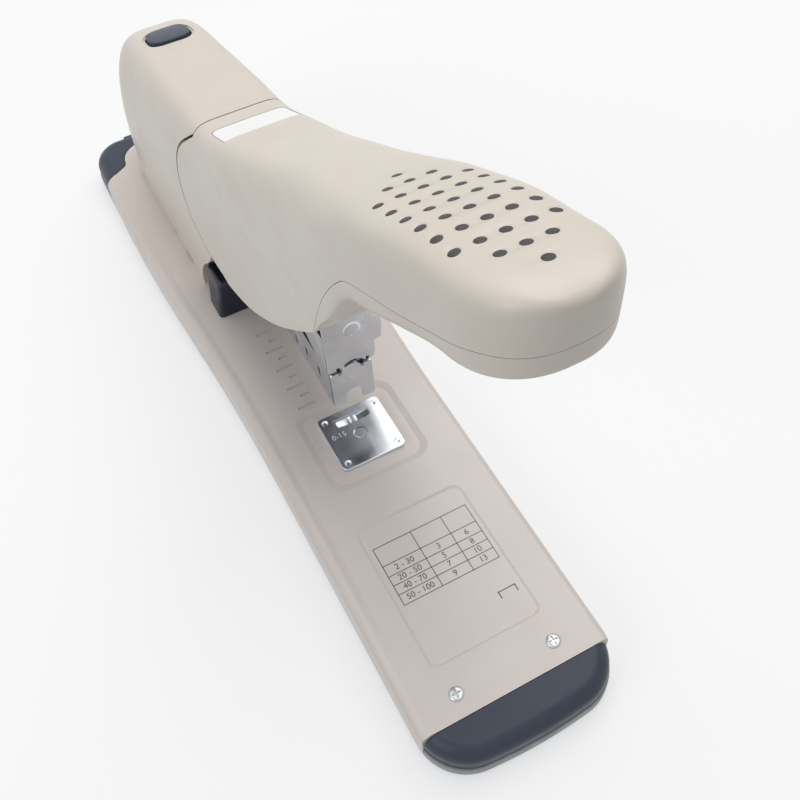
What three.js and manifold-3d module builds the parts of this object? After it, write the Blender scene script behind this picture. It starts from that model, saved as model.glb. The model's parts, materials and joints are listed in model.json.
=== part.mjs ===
// Heavy desk stapler with a long hand lever, a front-loading magazine and a steel base.
// Millimetres. X is the width, the anvil end points to -Y, +Z is up.
// The pieces are drawn with the anvil's middle at y = 0 and the top of the base at z = 0,
// and the whole object is moved at the end so that its rest face is centred on the origin.

import * as THREE from 'three';
import { mergeVertices } from 'three/addons/utils/BufferGeometryUtils.js';
import Module from 'manifold-3d';

const wasm = await Module();
wasm.setup();

// General clearances and cuts
const seatGap = 0.3;
const runningGap = 0.6;
const overrun = 4;
const weldStep = 0.01;
const mergeStep = 0.0001;

// Base
const baseHeight = 15;
const baseFrontReach = 118;
const baseRearReach = 208;
const baseHalfWidth = 33;
const baseRearHalfWidth = 39;
const baseEdge = 2.8;
const baseWall = 1.4;
const baseFrontCornerShare = 0.4545;
const baseRearCorner = 13;
const baseFrontDraw = 0.6;
const baseFrontBow = 2.2;
const baseCrownShare = 0.2;
const baseFrontFairShare = 0.3636;
const baseFairing = 30;
const baseWaistShare = 0.1827;
const baseShoulderShare = 0.6154;
const footHeight = 2;
const footRadius = 6;
const footFrontInset = 9;
const footFrontBack = 20;
const footRearInset = 10;
const footRearBack = 18;
const floorThickness = 1.2;
const capFrontLength = 14;
const capRearLength = 26;
const capSideReach = 9;
const capCuspReach = 5;
const capCuspStep = 3;
const capCuspDrop = 9;
const capCuspRadius = 2;
const capHollowRadius = 4;
const capCornerRadius = 6;
const capWall = 2;
const capTongueReach = 13;
const capTongueHold = 4;
const capTongueHalf = 12;
const capTongueThickness = 2.4;
const capScrewSpread = 16.8;
const capScrewBack = 7;
const screwHeadRadius = 2.9;
const screwHeadHeight = 1.1;
const screwShankRadius = 1.6;
const screwLength = 7;
const driveSlotWidth = 0.8;
const driveSlotDepth = 0.7;
const screwEdgeShare = 0.4;
const screwDomeShares = [0.75, 0.85];
const driveReachShare = 0.62;

// Chart panel and anvil
const chartHalfWidth = 19.4;
const chartNear = 34.4;
const chartBack = 30.8;
const chartDepth = 0.5;
const chartCorner = 3;
const anvilSize = 24;
const anvilThickness = 1.6;
const anvilProud = 0.8;
const anvilCorner = 2.6;
const anvilFrameSize = 31;
const anvilFrameDepth = 0.4;
const anvilDimpleSpread = 9.5;
const anvilDimpleRadius = 1.2;
const anvilDimpleDepth = 0.5;
const anvilScrewRadius = 2.2;
const anvilShankRadius = 1.4;
const anvilNutShare = 1.6;
const grooveLength = 14.6;
const grooveWidth = 3.2;
const grooveDepth = 0.7;
const grooveBack = 5.6;
const markPitch = 5;
const markCount = 9;
const markFirst = 20.7;
const markLongLength = 7.4;
const markShortLength = 4.4;
const markWidth = 0.9;
const markDepth = 0.35;
const markEdge = 7.6;

// Hand lever shells and rear cover
const handlePinY = 66;
const handlePinZ = 62;
const seamRadius = 24.6;
const seamSetback = 4;
const shellWall = 2.2;
const coverHalfWidth = 22;
const seamTop = 92.5;
const buttonBack = 59;
const buttonTop = 75;
const coverTurnBack = 66;
const coverRearBack = 10;
const coverFoot = 97.5;
// Front edge of the cover over the paper guide: place behind the pin, height, corner radius.
const coverFrontEdge = [[31.5, 3, 4], [23.5, 17.5, 8], [11.5, 28, 5]];
const coverBulge = 2.5;
const gripHalfWidth = 16.5;
const gripHalfHeight = 15;
const tipReach = 105.5;
const tipTop = 171;
const noseLength = 18.5;
const skirtCornerY = -25;
const skirtCornerZ = 90;
const archReachShare = 0.3727;
const archRise = 38;
const splitReachShare = 1.0932;
const splitRise = 62;
const liningWall = 2;
const bossRadius = 4.6;
const gripScrewShares = [0.6256, 0.8057];
const gripScrewLength = 17;
const apronWall = 2.4;
const apronGap = 2.4;
const labelDepth = 0.5;
const labelLength = 15.6;
const labelHalfWidth = 12.2;
const labelBack = 5.4;

// Pins
const pinRadius = 4;
const pinHalfLength = 14.9;
const ringWidth = 0.8;
const ringRadius = 6;
const hubRadius = 10;
const armPinBack = 40;
const armPinZ = 36;
const armPinRadius = 3.5;
const armSpacerRadius = 5.2;
const rollerPinRadius = 2.5;

// Body frame and lever
const frameHalfWidth = 13.7;
const frameWall = 1.5;
const frameFront = 104;
const frameStepZ = 30;
const frameRearBack = 24;
const frameBoltRadius = 3.4;
const frameBoltHeight = 2.4;
const frameBoltInset = 9;
const frameBoltSpread = 5.5;
const frameBridgeTop = 53.5;
const frameRearShare = 0.8;
const frameCorners = [8, 10, 12, 20, 14, 6];
const bridgeReachShare = 1.6;
const leverHalfWidth = 11.9;
const leverWall = 1.5;
const leverReachShare = 0.7867;
const leverHub = 9;
const leverNeckY = 20;
const leverKneeY = -12;
const leverKneeRise = 7.2;
const leverWebWall = 1.8;
const rollerY = 5;
const rollerRadius = 6;
const rollerHalfWidth = 9.8;

// Driver arm, head and blade
const driverHalfWidth = 8.5;
const driverWall = 0.8;
const driverWebTop = 58;
const driverWebRear = 47;
const driverToe = 7;
const driverSoleStart = 23.8;
const driverWebWall = 1.2;
const driverCorners = [2, 5, 3];
const driverHub = 7;
const headFront = 2.4;
const headWall = 0.9;
const headBottom = 41.5;
const headStep = 48.5;
const headTop = 66;
const headCorner = 5;
const headStepCorner = 1;
const headWideHalf = 12;
const headDimpleRadius = 4.2;
const headDimpleZ = 57;
const headDimpleDepth = 0.4;
const bladeFront = 2;
const bladeWall = 0.9;
const bladeHalfWidth = 5.8;
const bladeTip = 34;
const rivetRadius = 1.8;

// Magazine, tray and pusher
const sleeveHalfWidth = 7.4;
const sleeveWall = 0.6;
const sleeveBottom = 20;
const sleeveHeight = 17;
const sleeveRearBack = 58;
const sleeveCorners = [6, 4];
const noseWall = 1;
const noseHalfWidth = 7.35;
const noseArchHalf = 3;
const noseArchHeight = 6.6;
const noseArchShare = 0.98;
const noseCorner = 1;
const noseBumpRadius = 3.4;
const noseBumpRise = 2.2;
const noseNotchWidth = 1.2;
const sleeveSlotHeight = 4.5;
const sleeveSlotWidth = 1.5;
const throatFree = 4.2;
const trayHalfWidth = 6.5;
const trayWall = 0.5;
const trayHeight = 13;
const trayRearBack = 76;
const trayEndWall = 1.6;
const rodRadius = 0.7;
const rodHeight = 31.9;
const pusherLength = 14;
const coreHalfWidth = 5.2;
const coreTop = 29.6;
const coreWall = 0.8;
const feedWire = 0.35;
const feedRadius = 1.4;
const feedTurns = 14;
const liftY = 40;
const liftRadius = 4.6;
const liftWire = 0.6;
const liftTurns = 5;
const strapBack = 86;
const strapHalf = 8;
const strapWall = 0.7;

// Release button, catch and paper guide
const buttonHalfWidth = 8;
const buttonHalfLength = 6.7;
const buttonRim = 1.8;
const buttonHeight = 6;
const buttonProud = 0.9;
const buttonCorner = 4.6;
const buttonStemRadius = 2.2;
const buttonTravel = 3;
const buttonStemClear = 1.8;
const guideFront = 75.6;
const guideLength = 12.6;
const guideInner = 11;
const guideOuter = 23.5;
const guideDraft = 2.6;
const guideHeight = 17.8;
const guideBridge = 1;
const guideCorner = 2.4;
const guideSlotHalf = 2.6;
const guideSlotFront = 18;
const guideShoeHalf = 6;
const slideGap = 0.1;

// Places that follow the reach of the base and of the hand lever
const baseFrontCorner = baseHalfWidth * baseFrontCornerShare;
const baseFrontFair = baseHalfWidth * baseFrontFairShare;
const baseWaistY = baseRearReach * baseWaistShare;
const baseShoulderY = baseRearReach * baseShoulderShare;
const footFrontSpread = baseHalfWidth - footFrontInset;
const footFrontLine = baseFrontReach - footFrontBack;
const footRearSpread = baseRearHalfWidth - footRearInset;
const footRearLine = baseRearReach - footRearBack;
const capFrontLine = baseFrontReach - capFrontLength;
const capRearLine = baseRearReach - capRearLength;
const capScrewLine = capFrontLine - capScrewBack;
const chartFar = baseFrontReach - chartBack;
const coverTurnY = baseRearReach - coverTurnBack;
const coverRear = baseRearReach - coverRearBack;
const buttonY = baseRearReach - buttonBack;
const armPinY = baseRearReach - armPinBack;
const frameRear = baseRearReach - frameRearBack;
const sleeveRear = baseRearReach - sleeveRearBack;
const trayRear = baseRearReach - trayRearBack;
const strapY = baseRearReach - strapBack;
const gripSpan = tipReach + skirtCornerY;
const archReach = gripSpan * archReachShare;
const splitReach = gripSpan * splitReachShare;
const leverReach = tipReach * leverReachShare;

// Materials
const beigePlastic = new THREE.MeshStandardMaterial({ color: '#d9d0c4', roughness: 0.45, metalness: 0 });
const basePaint = new THREE.MeshStandardMaterial({ color: '#c9beb6', roughness: 0.4, metalness: 0.1 });
const darkPlastic = new THREE.MeshStandardMaterial({ color: '#3a4050', roughness: 0.5, metalness: 0 });
const navyPlastic = new THREE.MeshStandardMaterial({ color: '#232633', roughness: 0.5, metalness: 0 });
const chrome = new THREE.MeshStandardMaterial({ color: '#b9bfc4', roughness: 0.2, metalness: 1 });
const zinc = new THREE.MeshStandardMaterial({ color: '#9fa3a6', roughness: 0.4, metalness: 1 });
const blackSteel = new THREE.MeshStandardMaterial({ color: '#3b3c3e', roughness: 0.5, metalness: 0.8 });
const rubber = new THREE.MeshStandardMaterial({ color: '#262626', roughness: 0.9, metalness: 0 });
const paper = new THREE.MeshStandardMaterial({ color: '#f4f4f2', roughness: 0.7, metalness: 0 });

// Solids from three.js geometry

function toSolid(geometry) {
  geometry.deleteAttribute('normal');
  geometry.deleteAttribute('uv');
  const merged = mergeVertices(geometry, mergeStep);
  const corners = merged.index.array;
  const kept = [];
  for (let i = 0; i < corners.length; i += 3) {
    const [a, b, c] = [corners[i], corners[i + 1], corners[i + 2]];
    if (a !== b && b !== c && c !== a) kept.push(a, b, c);
  }
  return new wasm.Manifold(new wasm.Mesh({
    numProp: 3,
    vertProperties: new Float32Array(merged.attributes.position.array),
    triVerts: new Uint32Array(kept),
  }));
}

function toMesh(name, solid, material) {
  const { vertProperties, triVerts } = solid.simplify(weldStep).getMesh();
  const geometry = new THREE.BufferGeometry();
  geometry.setAttribute('position', new THREE.BufferAttribute(vertProperties, 3));
  geometry.setIndex(new THREE.BufferAttribute(triVerts, 1));
  geometry.computeVertexNormals();
  const mesh = new THREE.Mesh(geometry, material);
  mesh.name = name;
  return mesh;
}

function towards(here, other, reach) {
  return new THREE.Vector2(...other).sub(here).setLength(reach).add(here);
}

// An outline from points [a, b, corner radius], its corners rounded.
function outline(points) {
  const shape = new THREE.Shape();
  const count = points.length;
  points.forEach(([a, b, radius = 0], i) => {
    const here = new THREE.Vector2(a, b);
    if (radius === 0) {
      if (i === 0) shape.moveTo(a, b);
      else shape.lineTo(a, b);
      return;
    }
    const before = towards(here, points[(i + count - 1) % count], radius);
    const after = towards(here, points[(i + 1) % count], radius);
    if (i === 0) shape.moveTo(before.x, before.y);
    else shape.lineTo(before.x, before.y);
    shape.quadraticCurveTo(a, b, after.x, after.y);
  });
  shape.closePath();
  return shape;
}

function extruded(shape, depth, segments) {
  return new THREE.ExtrudeGeometry(shape, { depth, bevelEnabled: false, curveSegments: segments });
}

// A side outline in (y, z), carried across the width.
function acrossX(shape, x0, x1, segments = 4) {
  const geometry = extruded(shape, x1 - x0, segments);
  const axes = new THREE.Matrix4().makeBasis(
    new THREE.Vector3(0, 1, 0), new THREE.Vector3(0, 0, 1), new THREE.Vector3(1, 0, 0));
  geometry.applyMatrix4(axes);
  geometry.translate(x0, 0, 0);
  return toSolid(geometry);
}

// A front outline in (x, z), carried along the length.
function alongY(shape, y0, y1, segments = 4) {
  const geometry = extruded(shape, y1 - y0, segments);
  geometry.rotateX(Math.PI / 2);
  geometry.translate(0, y1, 0);
  return toSolid(geometry);
}

// A plan outline in (x, y), carried upwards.
function upZ(shape, z0, z1, segments = 4) {
  const geometry = extruded(shape, z1 - z0, segments);
  geometry.translate(0, 0, z0);
  return toSolid(geometry);
}

function block(x0, x1, y0, y1, z0, z1) {
  const geometry = new THREE.BoxGeometry(x1 - x0, y1 - y0, z1 - z0);
  geometry.translate((x0 + x1) / 2, (y0 + y1) / 2, (z0 + z1) / 2);
  return toSolid(geometry);
}

function rodX(y, z, radius, x0, x1, sides = 24) {
  const geometry = new THREE.CylinderGeometry(radius, radius, x1 - x0, sides);
  geometry.rotateZ(Math.PI / 2);
  geometry.translate((x0 + x1) / 2, y, z);
  return toSolid(geometry);
}

function rodY(x, z, radius, y0, y1, sides = 16) {
  const geometry = new THREE.CylinderGeometry(radius, radius, y1 - y0, sides);
  geometry.translate(x, (y0 + y1) / 2, z);
  return toSolid(geometry);
}

function rodZ(x, y, radius, z0, z1, sides = 20) {
  const geometry = new THREE.CylinderGeometry(radius, radius, z1 - z0, sides);
  geometry.rotateX(Math.PI / 2);
  geometry.translate(x, y, (z0 + z1) / 2);
  return toSolid(geometry);
}

function rectangle(x0, x1, y0, y1, corner) {
  return outline([[x0, y0, corner], [x1, y0, corner], [x1, y1, corner], [x0, y1, corner]]);
}

// A closed skin through rings that have the same number of points.
function loft(rings) {
  const size = rings[0].length;
  const positions = [];
  const corners = [];
  rings.forEach((ring) => ring.forEach((point) => positions.push(point.x, point.y, point.z)));
  for (let r = 0; r + 1 < rings.length; r += 1) {
    for (let i = 0; i < size; i += 1) {
      const a = r * size + i;
      const b = r * size + (i + 1) % size;
      corners.push(a, b, a + size, b, b + size, a + size);
    }
  }
  [rings[0], rings[rings.length - 1]].forEach((ring, end) => {
    const middle = new THREE.Vector3();
    ring.forEach((point) => middle.addScaledVector(point, 1 / size));
    const centre = positions.length / 3;
    positions.push(middle.x, middle.y, middle.z);
    const start = end === 0 ? 0 : (rings.length - 1) * size;
    for (let i = 0; i < size; i += 1) {
      const a = start + i;
      const b = start + (i + 1) % size;
      if (end === 0) corners.push(centre, b, a);
      else corners.push(centre, a, b);
    }
  });
  const geometry = new THREE.BufferGeometry();
  geometry.setAttribute('position', new THREE.Float32BufferAttribute(positions, 3));
  geometry.setIndex(corners);
  return toSolid(geometry);
}

const mirrored = (solid) => solid.mirror([1, 0, 0]);
const bothSides = (solid) => solid.add(mirrored(solid));

function blend(table, place) {
  const last = table.length - 1;
  if (place <= table[0][0]) return table[0][1];
  for (let i = 0; i < last; i += 1) {
    const [p0, v0] = table[i];
    const [p1, v1] = table[i + 1];
    if (place <= p1) return v0 + (v1 - v0) * ((place - p0) / (p1 - p0));
  }
  return table[last][1];
}

// Outer form shared by the hand lever's shells and the rear cover.
// Each row: place along the lever, rise of the top line, drop to the widest level, drop to the
// lowest level, half width, narrowing towards the top, and squareness of the section.
const leverLength = handlePinY + tipReach;
const leverRise = tipTop - seamTop;
const leverRowShares = [
  [0.0, 0, 5.35, 5.5, 1.3, 0.16, 7.6],
  [0.152, 0.15, 5.3, 5.5, 1.28, 0.15, 6.8],
  [0.315, 0.325, 5, 5.25, 1.2, 0.13, 5.8],
  [0.432, 0.467, 3.9, 4.3, 1.12, 0.1, 5],
  [0.524, 0.574, 2.8, 3.6, 1.07, 0.07, 4.5],
  [0.595, 0.656, 1.9, 2.85, 1.03, 0.04, 4.4],
  [0.666, 0.738, 1.2, 2.0, 1, 0.02, 4.6],
  [0.735, 0.81, 1, 1.9, 0.99, 0.02, 4.8],
  [0.816, 0.896, 1, 1.73, 0.96, 0.02, 4.9],
  [0.906, 0.965, 0.95, 1.5, 0.91, 0.02, 4.9],
];
const sleeveSlotShares = [[0.068, 0.36], [0.137, 0.3], [0.2, 0.12]];
const seamEndShare = 0.583;
const skirtShares = [[0.143, 0.02], [0.39, 0.2], [0.648, 0.479], [0.879, 0.81], [1, 1]];
const archShares = [[0.167, 0.21], [0.333, 0.38], [0.567, 0.66], [0.833, 0.88], [1.1, 0.97]];
const archDipShare = 0.53;
const splitShares = [[0, 0], [0.055, 0.184], [0.148, 0.426], [0.224, 0.573], [0.28, 0.658],
  [0.398, 0.758], [0.557, 0.871], [0.716, 0.992], [0.852, 1.097], [0.97, 1.145]];
const apronShares = [0.289, 0.511];
const coverLipShare = 0.18;
const coverRowShares = [[0.7, 0.14, 6], [0.42, 0.155, 6.8]];
const coverTurnShares = [[1, 1], [0.92, 0.985], [0.764, 0.965], [0.62, 0.909],
  [0.455, 0.819], [0.235, 0.752], [0, 0.752]];
const coverTurnSteps = 8;
const fanNarrowing = [0.04, 0.08];
const fanSquare = [3.6, 1.4];
const noseShares = [0.35, 0.6, 0.78, 0.9, 0.97, 0.995];
const nosePower = 2.4;
const noseLift = 7;
const noseBlunt = 0.55;
const ringPoints = 32;
const leastDepth = 0.1;
const fullness = 2.2;

function formRing(size, place) {
  const { half, top, bottom, narrowing, square, bulge = 0 } = size;
  const points = [];
  for (let i = 0; i < ringPoints; i += 1) {
    const angle = (2 * Math.PI * i) / ringPoints;
    const across = Math.sign(Math.cos(angle)) * Math.abs(Math.cos(angle)) ** (2 / square);
    const up = Math.sign(Math.sin(angle)) * Math.abs(Math.sin(angle)) ** (2 / square);
    const level = Math.max(up, 0);
    const swell = 4 * bulge * level * (1 - level);
    const width = (half + swell) * across * (1 - narrowing * level ** fullness);
    points.push(place(width, up > 0 ? up * top : up * bottom));
  }
  return points;
}

function topLine(y) {
  return seamTop - ((seamTop - buttonTop) * (y - handlePinY)) / (buttonY - handlePinY);
}

// The rear cover's rings: three upright ones, then a fan that turns down to the base.
function coverRings(inset) {
  const turnTop = topLine(coverTurnY);
  const curve = new THREE.SplineCurve(coverTurnShares.map(([a, b]) => new THREE.Vector2(a, b)));
  const fan = curve.getPoints(coverTurnSteps).reverse().map((point) => {
    const angle = (Math.PI / 2) * point.x;
    const size = {
      half: coverHalfWidth - inset,
      top: turnTop * point.y - inset,
      bottom: 0,
      bulge: coverBulge,
      narrowing: fanNarrowing[0] + fanNarrowing[1] * point.x,
      square: fanSquare[0] + fanSquare[1] * point.x,
    };
    return formRing(size, (u, v) => new THREE.Vector3(
      u, coverTurnY + v * Math.cos(angle), v * Math.sin(angle)));
  });
  const upright = coverRowShares.map(([share, narrowing, square]) => {
    const y = handlePinY + share * (coverTurnY - handlePinY);
    const size = {
      half: coverHalfWidth - inset,
      top: topLine(y) - inset,
      bottom: 0,
      bulge: coverBulge * share,
      narrowing,
      square,
    };
    return formRing(size, (u, v) => new THREE.Vector3(u, y, v));
  });
  return [...fan, ...upright];
}

function leverRings(inset) {
  const rowSize = ([along, rise, widest, lowest, width, narrowing, square]) => {
    const top = seamTop + rise * leverRise;
    const level = top - widest * gripHalfHeight;
    return {
      y: handlePinY - along * leverLength,
      level,
      half: width * gripHalfWidth - inset,
      top: top - level - inset,
      bottom: (lowest - widest) * gripHalfHeight - inset,
      narrowing,
      square,
    };
  };
  const rows = leverRowShares.map(rowSize);
  const last = rows[rows.length - 1];
  const nose = noseShares.map((share) => {
    const shrink = (1 - share ** nosePower) ** (1 / nosePower);
    const depth = noseBlunt + (1 - noseBlunt) * shrink;
    return {
      ...last,
      y: last.y - (noseLength - inset) * share,
      level: last.level + noseLift * share,
      half: last.half * shrink,
      top: last.top * depth,
      bottom: last.bottom * depth,
    };
  });
  return [...rows, ...nose].map((size) => formRing(
    { ...size, bottom: Math.max(size.bottom, leastDepth) },
    (u, v) => new THREE.Vector3(u, size.y, size.level + v)));
}

const bodyForm = (inset) => loft([...coverRings(inset), ...leverRings(inset)]);

const outerForm = bodyForm(0);
const innerForm = bodyForm(shellWall);
const innerFormWide = bodyForm(shellWall / 2);
const formWidth = coverHalfWidth + overrun;

// Steel base, its end caps, floor and feet

function baseOutline(inset) {
  const front = -baseFrontReach + inset;
  const rear = baseRearReach - inset;
  const half = baseHalfWidth - inset;
  const wide = baseRearHalfWidth - inset;
  const right = [
    [half - baseFrontDraw, front + baseFrontBow, baseFrontCorner],
    [half, baseWaistY, baseFairing],
    [wide, baseShoulderY, baseFairing],
    [wide - baseFrontDraw, rear - baseFrontDraw, baseRearCorner],
  ];
  const left = right.map(([x, y, radius]) => [-x, y, radius]).reverse();
  return outline([[0, front - baseFrontBow * baseCrownShare, baseFrontFair], ...right, ...left]);
}

function baseBlank(inset) {
  const geometry = new THREE.ExtrudeGeometry(baseOutline(inset), {
    depth: baseHeight,
    bevelThickness: baseEdge,
    bevelSize: baseEdge,
    bevelOffset: -baseEdge,
    bevelSegments: 3,
    curveSegments: 4,
  });
  geometry.translate(0, 0, -baseHeight - baseEdge - inset);
  return toSolid(geometry);
}

const shellBottom = -baseHeight + footHeight;
const shellBand = block(-baseRearHalfWidth - overrun, baseRearHalfWidth + overrun,
  -baseFrontReach - overrun, baseRearReach + overrun, shellBottom, overrun);

// The plan of the rear cap: it reaches forward at both sides and hugs the cover's rear corners.
function rearCapPlan(gap) {
  const side = baseRearHalfWidth + overrun;
  const cusp = coverHalfWidth + capCuspReach + gap;
  const right = [
    [side, capRearLine - capSideReach + gap],
    [cusp + capCuspReach, capRearLine + gap, capCuspRadius],
    [cusp, capRearLine + capCuspStep + gap, capCuspRadius],
    [cusp, capRearLine + capCuspDrop + gap, capHollowRadius],
    [coverHalfWidth - capCuspReach / 2, coverRear + gap, capCornerRadius],
  ];
  const left = right.map(([x, y, radius]) => [-x, y, radius]).reverse();
  return outline([
    ...right.map(([x, y, radius]) => [x, y, radius]),
    [0, coverRear + capCuspStep + gap],
    ...left,
    [-side, baseRearReach + overrun],
    [side, baseRearReach + overrun],
  ].reverse());
}

const capScrewPlaces = [-capScrewSpread, capScrewSpread];
const frameBoltLines = [frameFront + frameBoltInset, frameRear - frameBoltInset];
const frameBoltPlaces = frameBoltLines.flatMap((y) => [[-frameBoltSpread, y], [frameBoltSpread, y]]);

function makeBaseShell() {
  const side = baseRearHalfWidth + overrun;
  const middle = block(-side, side, -capFrontLine, baseRearReach + overrun, shellBottom, overrun);
  let shell = baseBlank(0).subtract(baseBlank(baseWall)).intersect(shellBand).intersect(middle);
  shell = shell.subtract(upZ(rearCapPlan(-seatGap), shellBottom - overrun, overrun));
  const chart = rectangle(-chartHalfWidth, chartHalfWidth, -chartFar, -chartNear, chartCorner);
  shell = shell.subtract(upZ(chart, -chartDepth, overrun));
  const frameHalf = anvilFrameSize / 2;
  const anvilFrame = rectangle(-frameHalf, frameHalf, -frameHalf, frameHalf, anvilCorner * 2);
  shell = shell.subtract(upZ(anvilFrame, -anvilFrameDepth, overrun));
  const seatHalf = anvilSize / 2 + seatGap;
  const seat = rectangle(-seatHalf, seatHalf, -seatHalf, seatHalf, anvilCorner);
  shell = shell.subtract(upZ(seat, anvilProud - anvilThickness, overrun));
  shell = shell.subtract(rodZ(0, 0, anvilShankRadius + seatGap, shellBottom, overrun));
  for (const x of capScrewPlaces) {
    shell = shell.subtract(rodZ(x, -capScrewLine, screwShankRadius + seatGap, shellBottom, overrun));
  }
  for (let i = 0; i < markCount; i += 1) {
    const length = i % 2 === 0 ? markLongLength : markShortLength;
    const y = markFirst + i * markPitch;
    const mark = block(-markEdge - length, -markEdge, y - markWidth / 2, y + markWidth / 2,
      -markDepth, overrun);
    shell = shell.subtract(mark);
  }
  const slotRear = guideFront + guideLength;
  const slot = block(-guideSlotHalf, guideSlotHalf, guideSlotFront, slotRear, shellBottom, overrun);
  shell = shell.subtract(slot);
  for (const [x, y] of frameBoltPlaces) {
    shell = shell.subtract(rodZ(x, y, screwShankRadius + seatGap, shellBottom, overrun));
  }
  return shell;
}

function makeFrontCap() {
  const side = baseRearHalfWidth + overrun;
  const region = block(-side, side, -baseFrontReach - overrun, -capFrontLine - seatGap, shellBottom, overrun);
  const shell = baseBlank(0).subtract(baseBlank(capWall)).intersect(region);
  const tongueTop = -baseWall - seatGap;
  const tongueHalf = capScrewSpread + screwHeadRadius * 2;
  let tongue = block(-tongueHalf, tongueHalf, -capFrontLine - capTongueHold,
    -capFrontLine + capTongueReach, tongueTop - capTongueThickness, tongueTop);
  for (const x of capScrewPlaces) {
    tongue = tongue.subtract(rodZ(x, -capScrewLine, screwShankRadius + seatGap, shellBottom, overrun));
  }
  return shell.add(tongue);
}

function makeRearCap() {
  const region = upZ(rearCapPlan(0), shellBottom, overrun);
  const shell = baseBlank(0).subtract(baseBlank(capWall)).intersect(region);
  const tongueTop = -baseWall - seatGap;
  const tongue = block(capTongueHalf, coverHalfWidth, coverRear - capTongueReach,
    baseRearReach - capWall / 2, tongueTop - capTongueThickness, tongueTop);
  return shell.add(bothSides(tongue));
}

function makeBaseFloor() {
  const plan = baseOutline(capWall + seatGap);
  const plate = upZ(plan, shellBottom, shellBottom + floorThickness);
  return plate;
}

const footPlaces = [
  ['foot_front_left', -footFrontSpread, -footFrontLine],
  ['foot_front_right', footFrontSpread, -footFrontLine],
  ['foot_rear_left', -footRearSpread, footRearLine],
  ['foot_rear_right', footRearSpread, footRearLine],
];

const makeFoot = (x, y) => rodZ(x, y, footRadius, -baseHeight, shellBottom, 24);

// A domed screw, head up, with a cross recess.
function makeScrew(x, y, seat, head, height, shank, length) {
  const profile = new THREE.LatheGeometry([
    new THREE.Vector2(0, -length),
    new THREE.Vector2(shank, -length),
    new THREE.Vector2(shank, 0),
    new THREE.Vector2(head, 0),
    new THREE.Vector2(head, height * screwEdgeShare),
    new THREE.Vector2(head * screwDomeShares[0], height * screwDomeShares[1]),
    new THREE.Vector2(0, height),
  ], 14);
  profile.rotateX(Math.PI / 2);
  profile.translate(x, y, seat);
  const reach = head * driveReachShare;
  const bar = driveSlotWidth / 2;
  const low = seat + height - driveSlotDepth;
  const cross = block(x - reach, x + reach, y - bar, y + bar, low, seat + height + overrun)
    .add(block(x - bar, x + bar, y - reach, y + reach, low, seat + height + overrun));
  return toSolid(profile).subtract(cross);
}

// A plain hexagon-headed bolt, head up.
function makeBolt(x, y, seat, head, height, shank, length) {
  const stem = rodZ(x, y, shank, seat - length, seat + height / 2, 12);
  return rodZ(x, y, head, seat, seat + height, 6).add(stem);
}

// Anvil plate with its twin pockets, corner dimples and screw

function makeAnvilPlate() {
  const half = anvilSize / 2;
  const bottom = anvilProud - anvilThickness;
  let plate = upZ(rectangle(-half, half, -half, half, anvilCorner), bottom, anvilProud, 5);
  const pocketHalf = grooveLength / 4 - seatGap;
  for (const side of [-1, 1]) {
    const x = (side * grooveLength) / 4;
    const pocket = rectangle(x - pocketHalf, x + pocketHalf,
      grooveBack - grooveWidth / 2, grooveBack + grooveWidth / 2, grooveWidth / 3);
    plate = plate.subtract(upZ(pocket, anvilProud - grooveDepth, overrun));
  }
  for (const x of [-anvilDimpleSpread, anvilDimpleSpread]) {
    for (const y of [-anvilDimpleSpread, anvilDimpleSpread]) {
      plate = plate.subtract(rodZ(x, y, anvilDimpleRadius, anvilProud - anvilDimpleDepth, overrun, 10));
    }
  }
  plate = plate.subtract(rodZ(0, 0, anvilScrewRadius + seatGap, anvilProud - anvilThickness / 2, overrun));
  return plate.subtract(rodZ(0, 0, anvilShankRadius + seatGap, -overrun, overrun));
}

function makeAnvilScrew() {
  const headLow = anvilProud - anvilThickness / 2 + seatGap / 3;
  const head = rodZ(0, 0, anvilScrewRadius, headLow, anvilProud - seatGap / 3);
  return head.add(rodZ(0, 0, anvilShankRadius, -screwLength, anvilProud - seatGap));
}

function makeAnvilNut() {
  const top = -baseWall - anvilFrameDepth - seatGap;
  const nut = rodZ(0, 0, anvilScrewRadius * anvilNutShare, top - screwHeadRadius, top, 6);
  return nut.subtract(rodZ(0, 0, anvilShankRadius + seatGap, -baseHeight, 0));
}

// Body frame: one steel pressing with a floor, two cheeks and a bridge for the button's stem

function cheekOutline() {
  return outline([
    [frameFront, 0],
    [frameRear, 0],
    [frameRear, armPinZ * frameRearShare, frameCorners[0]],
    [armPinY, frameBridgeTop, frameCorners[1]],
    [coverTurnY - buttonHalfLength, frameBridgeTop, frameCorners[2]],
    [handlePinY + seamRadius, handlePinZ + hubRadius / 2, frameCorners[3]],
    [handlePinY, handlePinZ + hubRadius],
    [handlePinY, handlePinZ - hubRadius],
    [frameFront - hubRadius / 2, armPinZ, frameCorners[4]],
    [frameFront, frameStepZ, frameCorners[5]],
  ]);
}

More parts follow.
